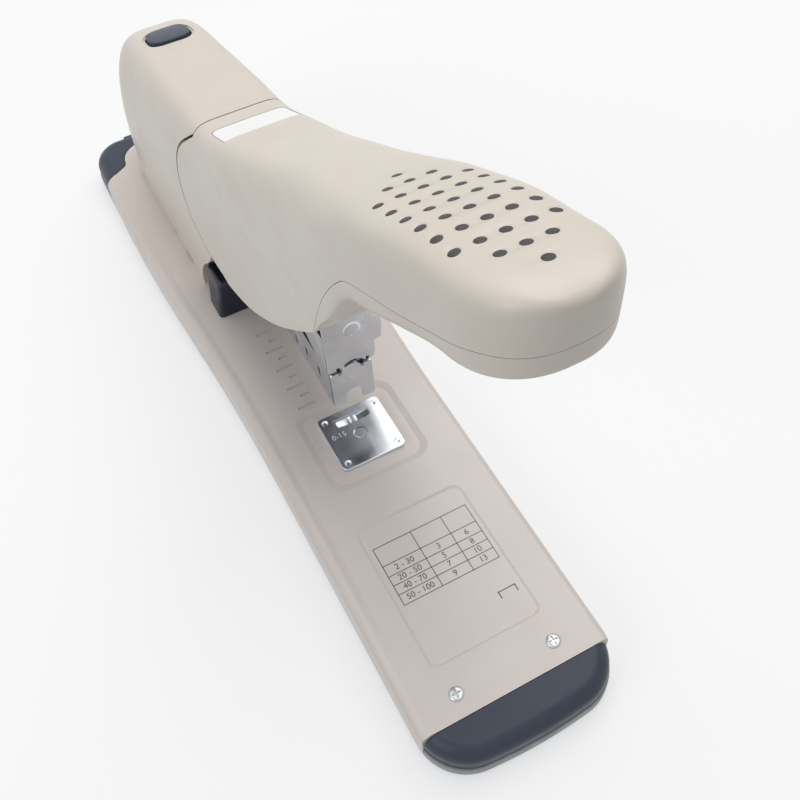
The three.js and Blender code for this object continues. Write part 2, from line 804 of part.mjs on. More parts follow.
function makeBodyFrame() {
  const inner = frameHalfWidth - frameWall;
  let cheek = acrossX(cheekOutline(), inner, frameHalfWidth, 5);
  cheek = cheek.add(rodX(handlePinY, handlePinZ, hubRadius, inner, frameHalfWidth, 28));
  cheek = cheek.subtract(rodX(handlePinY, handlePinZ, pinRadius + seatGap, 0, formWidth));
  cheek = cheek.subtract(rodX(armPinY, armPinZ, armPinRadius + seatGap, 0, formWidth));
  let frame = bothSides(cheek);
  frame = frame.add(block(-inner, inner, frameFront, frameRear, 0, frameWall));
  const reach = buttonHalfLength * bridgeReachShare;
  const bridge = block(-inner, inner, buttonY - reach, buttonY + reach,
    frameBridgeTop - frameWall, frameBridgeTop);
  frame = frame.add(bridge.subtract(rodZ(0, buttonY, buttonStemRadius + seatGap, 0, seamTop)));
  for (const [x, y] of frameBoltPlaces) {
    frame = frame.subtract(rodZ(x, y, screwShankRadius + seatGap, -overrun, frameWall + overrun));
  }
  return frame;
}

// Moulded shells

// Side outline of the hand lever's shells: the round lobe, the skirt, the arch and the grip.
function leverSide(gap) {
  const radius = seamRadius + gap;
  const shape = new THREE.Shape();
  const back = seamSetback + gap;
  const start = Math.acos(back / radius);
  shape.moveTo(handlePinY + back, tipTop + seamTop);
  shape.lineTo(handlePinY + back, handlePinZ + radius * Math.sin(start));
  shape.absarc(handlePinY, handlePinZ, radius, start, -Math.PI * seamEndShare, true);
  skirtShares.forEach(([along, up]) => {
    shape.lineTo(
      handlePinY + along * (skirtCornerY - handlePinY),
      handlePinZ - seamRadius + up * (skirtCornerZ - handlePinZ + seamRadius));
  });
  archShares.forEach(([along, up]) => {
    shape.lineTo(skirtCornerY - along * archReach, skirtCornerZ + up * archRise);
  });
  shape.lineTo(-tipReach - overrun, skirtCornerZ + archRise * archDipShare);
  shape.lineTo(-tipReach - overrun, tipTop + seamTop);
  shape.closePath();
  return shape;
}

// Side outline of the part that lies below the parting line: arch lining and grip underside.
function gripCoverSide(gap) {
  const shape = new THREE.Shape();
  shape.moveTo(skirtCornerY + gap, skirtCornerZ - overrun);
  splitShares.forEach(([along, up]) => {
    shape.lineTo(skirtCornerY - along * splitReach + gap, skirtCornerZ + up * splitRise + gap);
  });
  shape.lineTo(-tipReach - overrun, skirtCornerZ + splitRise + gap + overrun);
  shape.lineTo(-tipReach - overrun, skirtCornerZ - overrun);
  shape.closePath();
  return shape;
}

function makeApron() {
  const shape = new THREE.Shape();
  const outer = seamRadius - apronGap;
  const low = Math.PI * apronShares[0];
  const high = Math.PI * apronShares[1];
  shape.absarc(handlePinY, handlePinZ, outer, low, high, false);
  shape.absarc(handlePinY, handlePinZ, outer - apronWall, high, low, true);
  shape.closePath();
  return acrossX(shape, -formWidth, formWidth, 10).intersect(innerFormWide);
}

function labelPocket(gap, high, low) {
  const half = labelHalfWidth + gap;
  const plan = rectangle(-half, half, handlePinY - labelBack - labelLength - gap,
    handlePinY - labelBack + gap, screwShankRadius);
  const column = upZ(plan, seamTop - labelLength, tipTop);
  return column.intersect(outerForm.translate([0, 0, -high])).subtract(outerForm.translate([0, 0, -low]));
}

const lowerCut = (solid, steps) => steps.reduce(
  (left, drop) => left.subtract(innerForm.translate([0, 0, -drop])), solid);

function makeHandleShell() {
  const side = acrossX(leverSide(0), -formWidth, formWidth, 12);
  let shell = outerForm.intersect(side).subtract(innerForm);
  shell = shell.subtract(acrossX(gripCoverSide(seatGap), -formWidth, formWidth));
  shell = shell.add(makeApron().intersect(side));
  return shell.subtract(labelPocket(seatGap, -overrun, labelDepth));
}

function makeGripCover() {
  const side = acrossX(leverSide(0), -formWidth, formWidth, 12);
  const lower = acrossX(gripCoverSide(0), -formWidth, formWidth);
  const skin = outerForm.intersect(side).subtract(innerForm);
  const shape = new THREE.Shape();
  shape.moveTo(skirtCornerY, skirtCornerZ);
  archShares.forEach(([along, up]) => {
    shape.lineTo(skirtCornerY - along * archReach, skirtCornerZ + up * archRise);
  });
  [...archShares].reverse().forEach(([along, up]) => {
    shape.lineTo(skirtCornerY - along * archReach + liningWall, skirtCornerZ + up * archRise + liningWall);
  });
  shape.lineTo(skirtCornerY + liningWall, skirtCornerZ + liningWall);
  shape.closePath();
  const lining = acrossX(shape, -formWidth, formWidth).intersect(innerFormWide);
  return skin.add(lining).intersect(lower);
}

function makeRearCover() {
  const side = acrossX(leverSide(runningGap), -formWidth, formWidth, 12);
  let shell = outerForm.subtract(side);
  const front = outline([
    [handlePinY - overrun, -overrun],
    [coverFoot, -overrun],
    ...coverFrontEdge.map(([back, z, corner]) => [handlePinY + back, z, corner]),
    [handlePinY + seamRadius * coverLipShare, handlePinZ - seamRadius],
    [-tipReach - overrun, handlePinZ - seamRadius],
    [-tipReach - overrun, -overrun],
  ]);
  shell = shell.subtract(acrossX(front, -formWidth, formWidth, 5));
  shell = lowerCut(shell, [0, shellWall]);
  shell = shell.subtract(block(-formWidth, formWidth, -tipReach - overrun, handlePinY + runningGap,
    0, tipTop + seamTop));
  return shell.subtract(buttonColumn(runningGap)).subtract(buttonDish());
}

// Release button

function buttonPlan(gap) {
  return rectangle(-buttonHalfWidth - gap, buttonHalfWidth + gap,
    buttonY - buttonHalfLength - gap, buttonY + buttonHalfLength + gap, buttonCorner + gap);
}

const buttonColumn = (gap) => upZ(buttonPlan(gap), frameBridgeTop + buttonHeight, seamTop, 5);

function buttonDish() {
  const plan = buttonPlan(buttonRim);
  return upZ(plan, 0, seamTop, 5).subtract(outerForm.translate([0, 0, -buttonProud]));
}

function makeReleaseButton() {
  const crown = outerForm.translate([0, 0, buttonProud / 2]).subtract(
    outerForm.translate([0, 0, -buttonHeight]));
  const cap = upZ(buttonPlan(0), 0, seamTop, 5).intersect(crown);
  const stemLow = driverWebRear + buttonTravel + buttonStemClear;
  return cap.add(rodZ(0, buttonY, buttonStemRadius, stemLow, buttonTop - buttonHeight / 2, 16));
}

// A coil spring: one unbroken wire along a helix.
class Helix extends THREE.Curve {
  constructor(radius, length, turns) {
    super();
    Object.assign(this, { radius, length, turns });
  }

  getPoint(t, target = new THREE.Vector3()) {
    const angle = 2 * Math.PI * this.turns * t;
    return target.set(this.radius * Math.cos(angle), this.radius * Math.sin(angle), this.length * t);
  }
}

const coilSteps = 7;
const wireSides = 4;

function coil(radius, length, turns, wire) {
  const ring = new THREE.Shape();
  for (let i = 0; i < wireSides; i += 1) {
    const angle = (2 * Math.PI * i) / wireSides;
    const at = [wire * Math.cos(angle), wire * Math.sin(angle)];
    if (i === 0) ring.moveTo(...at);
    else ring.lineTo(...at);
  }
  ring.closePath();
  return new THREE.ExtrudeGeometry(ring, {
    steps: coilSteps * turns,
    bevelEnabled: false,
    extrudePath: new Helix(radius, length, turns),
  });
}

// Hand lever inside the shells, with the roller that drives the arm below

const webTopAt = (y) => driverWebTop - ((driverWebTop - driverWebRear) * y) / sleeveRear;
const rollerZ = webTopAt(rollerY) + rollerRadius + seatGap;

const gripScrewLines = gripScrewShares.map((share) => -tipReach * share);

const leverTopShares = [[0.24, 0.3862], [0.54, 0.7355], [1, 1.05]];
const leverLowShares = [[1, 0.96], [0.554, 0.5884], [0.361, 0.3248]];
const leverRow = ([along, up]) => [-along * leverReach, skirtCornerZ + up * splitRise];
const leverTopPoints = [
  [handlePinY, handlePinZ + leverHub],
  [leverNeckY / 2, handlePinZ + hubRadius * 3],
  ...leverTopShares.map(leverRow),
];
const leverLowPoints = [
  ...leverLowShares.map(leverRow),
  [leverKneeY, skirtCornerZ],
  [headFront, headTop + leverKneeRise, rollerRadius],
  [leverNeckY, handlePinZ - leverWall, hubRadius],
  [handlePinY, handlePinZ - leverHub],
];

// The web that joins the lever's cheeks along their top edges.
function leverWeb(gap, depth) {
  const inner = leverHalfWidth - leverWall;
  const upper = leverTopPoints.slice(1).map(([y, z]) => [y, z + gap]);
  const lower = [...upper].reverse().map(([y, z]) => [y, z - gap * 2 - depth]);
  return acrossX(outline([...upper, ...lower]), -inner, inner);
}

function makeHandleLever() {
  const inner = leverHalfWidth - leverWall;
  let cheek = acrossX(outline([...leverTopPoints, ...leverLowPoints]), inner, leverHalfWidth, 5);
  cheek = cheek.add(rodX(handlePinY, handlePinZ, leverHub, inner, leverHalfWidth, 28));
  cheek = cheek.subtract(rodX(handlePinY, handlePinZ, pinRadius + seatGap, 0, formWidth));
  cheek = cheek.subtract(rodX(rollerY, rollerZ, rollerPinRadius + seatGap, 0, formWidth));
  const web = leverWeb(0, leverWebWall);
  const lever = bothSides(cheek).add(web);
  return gripScrewLines.reduce((left, y) => left.subtract(
    rodZ(0, y, screwShankRadius + seatGap, skirtCornerZ, tipTop)), lever);
}

function makeRoller() {
  const roller = rodX(rollerY, rollerZ, rollerRadius, -rollerHalfWidth, rollerHalfWidth, 28);
  return roller.subtract(rodX(rollerY, rollerZ, rollerPinRadius + seatGap, -formWidth, formWidth));
}

// Height of the grip's underside, read from the same rows as its skin.
function gripUnderside(y) {
  const along = (handlePinY - y) / leverLength;
  const rise = blend(leverRowShares.map((row) => [row[0], row[1]]), along);
  const drop = blend(leverRowShares.map((row) => [row[0], row[3]]), along);
  return seamTop + rise * leverRise - drop * gripHalfHeight;
}

// Everything from well below the lever's web up to just above it.
const leverBand = leverWeb(seatGap, bossRadius * 4);

const gripSeat = (y) => gripUnderside(y) + screwHeadHeight * 3;

function addBosses(shell, low) {
  return gripScrewLines.reduce((whole, y) => {
    const from = low ? gripUnderside(y) - overrun : gripSeat(y) + bossRadius * 2;
    const to = low ? gripSeat(y) + bossRadius : tipTop;
    const boss = rodZ(0, y, bossRadius, from, to).intersect(low ? outerForm : innerFormWide);
    const deep = gripSeat(y) + gripScrewLength + seatGap;
    const hole = rodZ(0, y, screwShankRadius + seatGap, from - overrun, deep, 16);
    const sink = rodZ(0, y, screwHeadRadius + seatGap, from - overrun, gripSeat(y));
    if (low) return whole.add(boss).subtract(hole).subtract(sink);
    return whole.add(boss.subtract(leverBand)).subtract(hole);
  }, shell);
}

function makeGripScrew(y) {
  const screw = makeScrew(0, 0, 0, screwHeadRadius, screwHeadHeight, screwShankRadius, gripScrewLength);
  return screw.mirror([0, 0, 1]).translate([0, y, gripSeat(y) - seatGap]);
}

// Driver arm, head plate, blade and its holder

const armFace = -(headFront - headWall - seatGap);

function makeDriverArm() {
  const inner = driverHalfWidth - driverWall;
  const hubTop = armPinZ + driverHub;
  let cheek = acrossX(outline([
    [armFace, headBottom],
    [driverToe, headBottom, driverCorners[0]],
    [driverSoleStart, headStep + driverWall, driverCorners[1]],
    [sleeveRear, armPinZ + rollerRadius / 2],
    [armPinY, armPinZ - driverHub],
    [armPinY, hubTop],
    [sleeveRear, driverWebRear, driverCorners[2]],
    [0, driverWebTop],
    [armFace, driverWebTop],
  ]), inner, driverHalfWidth);
  cheek = cheek.add(rodX(armPinY, armPinZ, driverHub, inner, driverHalfWidth));
  cheek = cheek.subtract(rodX(armPinY, armPinZ, armPinRadius + seatGap, 0, formWidth));
  const web = acrossX(outline([
    [armFace, driverWebTop - driverWebWall],
    [sleeveRear, driverWebRear - driverWebWall],
    [sleeveRear, driverWebRear],
    [0, driverWebTop],
    [armFace, driverWebTop],
  ]), -inner, inner);
  return bothSides(cheek).add(web);
}

function makeDriverHead() {
  const plate = outline([
    [-driverHalfWidth, headBottom],
    [driverHalfWidth, headBottom],
    [driverHalfWidth, headStep],
    [headWideHalf, headStep, headStepCorner],
    [headWideHalf, headTop, headCorner],
    [-headWideHalf, headTop, headCorner],
    [-headWideHalf, headStep, headStepCorner],
    [-driverHalfWidth, headStep],
  ]);
  const scallop = rodY(0, headBottom - noseBumpRise, noseBumpRadius + runningGap * 2,
    -headFront - overrun, overrun, 28);
  const notch = noseBumpRadius + noseNotchWidth;
  const slit = block(notch, notch + noseNotchWidth, -headFront - overrun, overrun,
    headBottom - overrun, headBottom + noseNotchWidth);
  const dimple = rodY(0, headDimpleZ, headDimpleRadius,
    -headFront - overrun, -headFront + headDimpleDepth, 28);
  return alongY(plate, -headFront, -headFront + headWall, 5)
    .subtract(scallop).subtract(bothSides(slit)).subtract(dimple);
}

function makeBlade() {
  const top = webTopAt(bladeFront) - driverWebWall - seatGap * 2;
  return block(-bladeHalfWidth, bladeHalfWidth, bladeFront, bladeFront + bladeWall, bladeTip, top);
}

function makeBladeHolder() {
  const top = webTopAt(0) - driverWebWall - seatGap * 2;
  return block(-coreHalfWidth, coreHalfWidth, armFace, bladeFront - seatGap, top - rivetRadius, top);
}

// Magazine sleeve with its rear arms, slots and spring strap

const sleeveTop = sleeveBottom + sleeveHeight;

function makeSleeve() {
  const inner = sleeveHalfWidth - sleeveWall;
  const front = noseWall + seatGap;
  let cheek = acrossX(outline([
    [front, sleeveBottom],
    [sleeveRear, sleeveBottom, sleeveCorners[0]],
    [armPinY, armPinZ - driverHub],
    [armPinY, armPinZ + driverHub],
    [sleeveRear - driverHub, sleeveTop, sleeveCorners[1]],
    [front, sleeveTop],
  ]), inner, sleeveHalfWidth);
  cheek = cheek.add(rodX(armPinY, armPinZ, driverHub, inner, sleeveHalfWidth));
  cheek = cheek.subtract(rodX(armPinY, armPinZ, armPinRadius + seatGap, 0, formWidth));
  sleeveSlotShares.forEach(([along, up]) => {
    const y = along * sleeveRear;
    const z = sleeveBottom + up * sleeveHeight;
    cheek = cheek.subtract(block(0, formWidth, y, y + sleeveSlotWidth, z, z + sleeveSlotHeight));
  });
  cheek = cheek.add(block(inner, sleeveHalfWidth, strapY - strapHalf, strapY + strapHalf,
    sleeveBottom - strapWall - slideGap, sleeveBottom + seatGap));
  const web = block(-inner, inner, throatFree, sleeveRear - driverHub, sleeveTop - sleeveWall, sleeveTop);
  const strap = block(-inner, inner, strapY - strapHalf, strapY + strapHalf,
    sleeveBottom - strapWall - slideGap, sleeveBottom - slideGap);
  return bothSides(cheek).add(web).add(strap);
}

// Front-loading tray: a trough with the nose plate folded up at its front

const trayBottom = sleeveBottom + seatGap;

function makeNosePlate() {
  const top = sleeveTop;
  const plate = outline([
    [-noseHalfWidth, sleeveBottom, noseCorner],
    [-noseArchHalf, sleeveBottom],
    [-noseArchHalf, sleeveBottom + noseArchHeight, noseArchHalf * noseArchShare],
    [noseArchHalf, sleeveBottom + noseArchHeight, noseArchHalf * noseArchShare],
    [noseArchHalf, sleeveBottom],
    [noseHalfWidth, sleeveBottom, noseCorner],
    [noseHalfWidth, top, noseCorner],
    [-noseHalfWidth, top, noseCorner],
  ]);
  const bump = rodY(0, top - noseBumpRadius + noseBumpRise, noseBumpRadius, 0, noseWall, 28);
  const notch = noseBumpRadius;
  const slit = block(notch, notch + noseNotchWidth, -overrun, overrun, top - noseNotchWidth, top + overrun);
  const dotZ = (sleeveBottom + noseArchHeight + top) / 2 + noseWall;
  const dot = rodY(0, dotZ, rodRadius, -overrun, noseWall / 3, 12);
  return alongY(plate, 0, noseWall, 5).add(bump).subtract(bothSides(slit)).subtract(dot);
}

function makeTray() {
  const inner = trayHalfWidth - trayWall;
  const side = block(inner, trayHalfWidth, noseWall - trayWall, trayRear,
    trayBottom, trayBottom + trayHeight);
  const web = block(-inner, inner, throatFree + seatGap, trayRear, trayBottom, trayBottom + trayWall);
  const end = block(-inner, inner, trayRear - trayEndWall, trayRear,
    trayBottom, sleeveTop - sleeveWall - runningGap);
  const rodHole = rodY(0, rodHeight, rodRadius + seatGap, trayRear - overrun, trayRear + overrun);
  return makeNosePlate().add(bothSides(side)).add(web).add(end).subtract(rodHole);
}

function makeCore() {
  const bottom = trayBottom + trayWall + seatGap;
  const rear = trayRear - trayEndWall - seatGap;
  const outer = block(-coreHalfWidth, coreHalfWidth, throatFree + seatGap, rear, bottom, coreTop);
  const hollow = block(-coreHalfWidth + coreWall, coreHalfWidth - coreWall,
    -overrun, trayRear + overrun, bottom - overrun, coreTop - coreWall);
  return outer.subtract(hollow);
}

const pusherFront = throatFree + runningGap;

function makePusher() {
  const top = bladeTip - seatGap;
  const half = trayHalfWidth - trayWall - seatGap / 2;
  const legInner = coreHalfWidth + seatGap / 2;
  const rear = pusherFront + pusherLength;
  const head = block(-half, half, pusherFront, rear, coreTop + seatGap, top);
  const leg = block(legInner, half, pusherFront, rear,
    trayBottom + trayWall + seatGap, coreTop + seatGap * 2);
  const bore = rodY(0, rodHeight, rodRadius + seatGap, pusherFront - overrun, rear + overrun);
  return head.add(bothSides(leg)).subtract(bore);
}

const makeRod = () => rodY(0, rodHeight, rodRadius, pusherFront, trayRear - trayEndWall / 4, 10);

function makeFeedSpring() {
  const from = pusherFront + pusherLength + feedWire + seatGap;
  const to = trayRear - trayEndWall - feedWire - seatGap;
  const geometry = coil(feedRadius, to - from, feedTurns, feedWire);
  geometry.rotateX(-Math.PI / 2);
  geometry.translate(0, from, rodHeight);
  return toSolid(geometry);
}

function standingSpring(y, from, to, radius, turns, wire) {
  const low = from + wire + seatGap;
  const geometry = coil(radius, to - wire - seatGap - low, turns, wire);
  geometry.translate(0, y, low);
  return toSolid(geometry);
}

// Paper guide: two wings joined by a thin bridge, held in the base's slot by a shoe

function makePaperGuide() {
  const rear = guideFront + guideLength;
  const wing = acrossX(outline([
    [guideFront, slideGap],
    [rear, slideGap],
    [rear, guideHeight, guideCorner],
    [guideFront, guideHeight, guideCorner],
  ]), guideInner, guideOuter, 5);
  const drafted = alongY(outline([
    [guideInner, 0],
    [guideOuter, 0],
    [guideOuter - guideDraft, guideHeight, guideCorner / 2],
    [guideInner, guideHeight],
  ]), guideFront, rear, 5);
  const bridge = block(-guideInner, guideInner, guideFront + guideShoeHalf / 2, rear, slideGap, guideBridge);
  return bothSides(wing.intersect(drafted)).add(bridge);
}

function makeGuideShoe() {
  const middle = guideFront + guideLength / 2;
  const top = -baseWall - seatGap;
  const shoe = block(-guideShoeHalf, guideShoeHalf, middle - guideShoeHalf, middle + guideShoeHalf,
    top - capTongueThickness, top);
  const half = guideSlotHalf - seatGap;
  const neck = block(-half, half, middle - guideShoeHalf, middle + guideShoeHalf,
    top - slideGap, -slideGap);
  return shoe.add(neck);
}

// Pins, their rings and the spacers beside the arms

const makePin = (y, z, radius, half) => rodX(y, z, radius, -half, half);

function makeRing(side, y, z, bore, outer) {
  const from = frameHalfWidth + seatGap;
  const bored = rodX(y, z, bore + slideGap, 0, formWidth, 16);
  const ring = rodX(y, z, outer, from, from + ringWidth, 16).subtract(bored);
  return side < 0 ? mirrored(ring) : ring;
}

function makeSpacer(side) {
  const from = driverHalfWidth + seatGap;
  const to = frameHalfWidth - frameWall - seatGap;
  const tube = rodX(armPinY, armPinZ, armSpacerRadius, from, to, 16)
    .subtract(rodX(armPinY, armPinZ, armPinRadius + seatGap, 0, formWidth, 16));
  return side < 0 ? mirrored(tube) : tube;
}

// The assembly, body by body

const sides = [['left', -1], ['right', 1]];
const bracketTop = frameBridgeTop;
const buttonUnder = topLine(buttonY) - buttonHeight - buttonProud;

function group(...meshes) {
  const result = new THREE.Group();
  result.add(...meshes);
  return result;
}

const fixedPieces = group(
  toMesh('base_shell', makeBaseShell(), basePaint),
  toMesh('base_floor', makeBaseFloor(), blackSteel),
  toMesh('front_cap', makeFrontCap(), darkPlastic),
  toMesh('rear_cap', makeRearCap(), darkPlastic),
  ...footPlaces.map(([name, x, y]) => toMesh(name, makeFoot(x, y), rubber)),
  ...sides.map(([word, side]) => toMesh(`cap_screw_${word}`, makeScrew(side * capScrewSpread, -capScrewLine,
    0, screwHeadRadius, screwHeadHeight, screwShankRadius, screwLength), zinc)),
  toMesh('anvil_plate', makeAnvilPlate(), chrome),
  toMesh('anvil_screw', makeAnvilScrew(), zinc),
  toMesh('anvil_nut', makeAnvilNut(), zinc),
  toMesh('body_frame', makeBodyFrame(), blackSteel),
  ...frameBoltPlaces.map(([x, y], i) => toMesh(`frame_bolt_${i + 1}`, makeBolt(x, y,
    frameWall + slideGap, frameBoltRadius, frameBoltHeight, screwShankRadius, screwLength), zinc)),
  toMesh('rear_cover', makeRearCover(), beigePlastic),
  toMesh('handle_pin', makePin(handlePinY, handlePinZ, pinRadius, pinHalfLength), zinc),
  toMesh('arm_pin', makePin(armPinY, armPinZ, armPinRadius, pinHalfLength), zinc),
  ...sides.map(([word, side]) => toMesh(`handle_pin_ring_${word}`,
    makeRing(side, handlePinY, handlePinZ, pinRadius, ringRadius), blackSteel)),
  ...sides.map(([word, side]) => toMesh(`arm_pin_ring_${word}`,
    makeRing(side, armPinY, armPinZ, armPinRadius, ringRadius), blackSteel)),
  ...sides.map(([word, side]) => toMesh(`arm_spacer_${word}`, makeSpacer(side), zinc)),
  toMesh('lift_spring', standingSpring(strapY, frameWall,
    sleeveBottom - strapWall - slideGap, liftRadius, liftTurns, liftWire), blackSteel),
  toMesh('button_spring', standingSpring(buttonY, bracketTop, buttonUnder,
    buttonStemRadius + liftWire * 2, liftTurns, liftWire / 2), blackSteel),
);

const handlePieces = group(
  toMesh('handle_shell', addBosses(makeHandleShell(), false), beigePlastic),
  toMesh('grip_cover', addBosses(makeGripCover(), true), beigePlastic),
  toMesh('handle_lever', makeHandleLever(), blackSteel),
  toMesh('lever_roller', makeRoller(), zinc),
  toMesh('roller_pin', makePin(rollerY, rollerZ, rollerPinRadius, leverHalfWidth + runningGap), zinc),
  toMesh('blank_label', labelPocket(0, slideGap, labelDepth - slideGap), paper),
  ...gripScrewLines.map((y, i) => toMesh(`grip_screw_${i + 1}`, makeGripScrew(y), zinc)),
);

const driverPieces = group(
  toMesh('driver_arm', makeDriverArm(), chrome),
  toMesh('driver_head', makeDriverHead(), chrome),
  toMesh('driver_blade', makeBlade(), zinc),
  toMesh('blade_holder', makeBladeHolder(), zinc),
);

const magazinePieces = group(
  toMesh('magazine_sleeve', makeSleeve(), chrome),
  toMesh('return_spring', standingSpring(liftY, sleeveTop,
    webTopAt(liftY) - driverWebWall, liftRadius, liftTurns, liftWire), blackSteel),
);

const trayPieces = group(
  toMesh('staple_tray', makeTray(), chrome),
  toMesh('tray_core', makeCore(), zinc),
  toMesh('feed_rod', makeRod(), zinc),
  toMesh('feed_spring', makeFeedSpring(), blackSteel),
  toMesh('pusher', makePusher(), darkPlastic),
);

const buttonPieces = group(toMesh('release_button', makeReleaseButton(), darkPlastic));

const guidePieces = group(
  toMesh('paper_guide', makePaperGuide(), navyPlastic),
  toMesh('guide_shoe', makeGuideShoe(), darkPlastic),
);

const stapler = group(fixedPieces, handlePieces, driverPieces, magazinePieces,
  trayPieces, buttonPieces, guidePieces);
stapler.position.set(0, (baseFrontReach - baseRearReach) / 2, baseHeight);

export default stapler;
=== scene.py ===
# %% [markdown]
# This lesson dresses a heavy desk stapler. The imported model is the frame: it holds every real part
# at its real place, and says which body each part moves with. Its faces are coarse, so the moulded
# skins, the painted base and the small hardware are made again here as fine meshes on the same
# measures.

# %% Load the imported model
import json
import math

import bmesh
import bpy
from mathutils import Matrix, Vector
from mathutils.bvhtree import BVHTree


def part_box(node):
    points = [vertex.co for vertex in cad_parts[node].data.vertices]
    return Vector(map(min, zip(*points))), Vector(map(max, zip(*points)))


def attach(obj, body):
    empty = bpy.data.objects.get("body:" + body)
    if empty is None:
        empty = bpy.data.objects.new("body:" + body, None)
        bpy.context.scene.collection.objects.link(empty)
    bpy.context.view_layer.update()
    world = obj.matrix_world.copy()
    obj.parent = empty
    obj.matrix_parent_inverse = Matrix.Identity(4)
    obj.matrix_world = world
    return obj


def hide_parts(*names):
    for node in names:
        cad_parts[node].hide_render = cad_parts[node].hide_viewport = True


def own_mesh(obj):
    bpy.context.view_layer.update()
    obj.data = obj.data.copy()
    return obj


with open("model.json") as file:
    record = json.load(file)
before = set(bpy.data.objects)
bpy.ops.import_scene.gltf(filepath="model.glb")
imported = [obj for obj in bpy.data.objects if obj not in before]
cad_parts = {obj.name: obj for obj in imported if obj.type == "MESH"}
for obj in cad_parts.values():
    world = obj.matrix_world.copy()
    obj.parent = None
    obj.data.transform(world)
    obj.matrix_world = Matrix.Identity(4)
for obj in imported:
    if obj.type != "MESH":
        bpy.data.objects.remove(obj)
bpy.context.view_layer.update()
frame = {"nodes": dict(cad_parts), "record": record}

# %% [markdown]
# The stapler is measured in millimetres from the middle of its anvil, with zero height on top of
# the base. Blender works in metres from the middle of the rest face. One matrix carries the one to
# the other, and every new piece passes through it as its last step, so its object stays at the
# origin.

# %% Millimetres into the frame
MILLIMETRE = 0.001
ANVIL_PLACE = Vector((0, -45, 15))
TO_FRAME = Matrix.Scale(MILLIMETRE, 4) @ Matrix.Translation(ANVIL_PLACE)
SEAT, RUNNING, BEYOND, NEAR = 0.3, 0.6, 6, 0.1
SHARP_ANGLE = 34
WELD, FINE_WELD, COARSE_WELD = 1e-4, 1e-5, 1e-3
BODY_OF = {node: body for body, nodes in frame["record"]["behaviour"]["bodies"].items()
           for node in nodes}
SLOT_OF = {part["node"]: part["material_slot"] for part in frame["record"]["subparts"]}


def in_scene(name, data):
    item = bpy.data.objects.new(name, data)
    bpy.context.scene.collection.objects.link(item)
    return item


def as_piece(bm, name, material, *replaced, body=None, slot=None, sharp=SHARP_ANGLE, even=False):
    """Finish a mesh drawn in millimetres as a piece, with the body of what it replaces. Its slot is
    not used.
    """
    body = body or BODY_OF[replaced[0]]
    slot = slot or SLOT_OF[replaced[0]]
    bmesh.ops.transform(bm, matrix=TO_FRAME, verts=bm.verts)
    limit = math.radians(sharp)
    for face in bm.faces:
        face.smooth = True
    for edge in bm.edges:
        edge.smooth = edge.is_manifold and edge.calc_face_angle(0) < limit
    mesh = bpy.data.meshes.new(name)
    bm.to_mesh(mesh)
    bm.free()
    mesh.materials.append(material)
    piece = in_scene(name, mesh)
    if even:
        piece.modifiers.new("even shading", "WEIGHTED_NORMAL").keep_sharp = True
    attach(piece, body)
    if replaced:
        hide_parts(*replaced)
    print(name, len(mesh.polygons), "faces")
    return piece


# %% [markdown]
# Pressed and moulded parts are mostly flat outlines pulled into depth, with rounded upright
# corners. A few corner points make one face, an extrusion makes it solid, and a bevel rounds each
# upright edge by its own amount, as a toolmaker would specify it.

# %% Outlines pulled into depth
TURN_TO = {
    "z": Matrix.Identity(4),
    "y": Matrix(((1, 0, 0, 0), (0, 0, 1, 0), (0, 1, 0, 0), (0, 0, 0, 1))),
    "x": Matrix(((0, 0, 1, 0), (1, 0, 0, 0), (0, 1, 0, 0), (0, 0, 0, 1))),
}


def bevel(bm, edges, width, segments, clamp=True):
    """Round some edges. A script's defaults aren't the editor's, so every choice is written out."""
    bmesh.ops.bevel(bm, geom=edges, offset=width, offset_type="OFFSET", segments=segments,
                    profile=0.5, affect="EDGES", clamp_overlap=clamp, material=-1)


def prism(points, low, high, axis="z", steps=6):
    """A solid from corner points (a, b) or (a, b, rounding), pulled from low to high on an axis."""
    bm = bmesh.new()
    corners = [bm.verts.new((point[0], point[1], low)) for point in points]
    face = bm.faces.new(corners)
    pulled = bmesh.ops.extrude_face_region(bm, geom=[face])["geom"]
    raised = [item for item in pulled if isinstance(item, bmesh.types.BMVert)]
    bmesh.ops.translate(bm, verts=raised, vec=(0, 0, high - low))
    rounded = {}
    for corner, point in zip(corners, points):
        if len(point) > 2 and point[2] > 0:
            upright = [e for e in corner.link_edges if e.verts[0].co.z != e.verts[1].co.z]
            rounded.setdefault(point[2], []).extend(upright)
    for radius, edges in rounded.items():
        bevel(bm, edges, radius, steps, clamp=False)
    bmesh.ops.remove_doubles(bm, verts=bm.verts, dist=FINE_WELD)
    bmesh.ops.transform(bm, matrix=TURN_TO[axis], verts=bm.verts)
    bmesh.ops.recalc_face_normals(bm, faces=bm.faces)
    return bm


def plate(x0, x1, y0, y1, z0, z1, rounding=0, axis="z", steps=6):
    """A plate with four equal corners. x0 to y1 are in the plane across the axis."""
    corners = [(x0, y0), (x1, y0), (x1, y1), (x0, y1)]
    return prism([(a, b, rounding) for a, b in corners], z0, z1, axis, steps)


def soften(bm, width, angle=30, segments=2, only=None):
    """Round every edge that is sharper than the angle, or those of them that a test picks out."""
    limit = math.radians(angle)
    edges = [e for e in bm.edges if e.is_manifold and e.calc_face_angle(0) > limit]
    if only:
        edges = [e for e in edges if only(*(v.co for v in e.verts))]
    bevel(bm, edges, width, segments)
    return bm


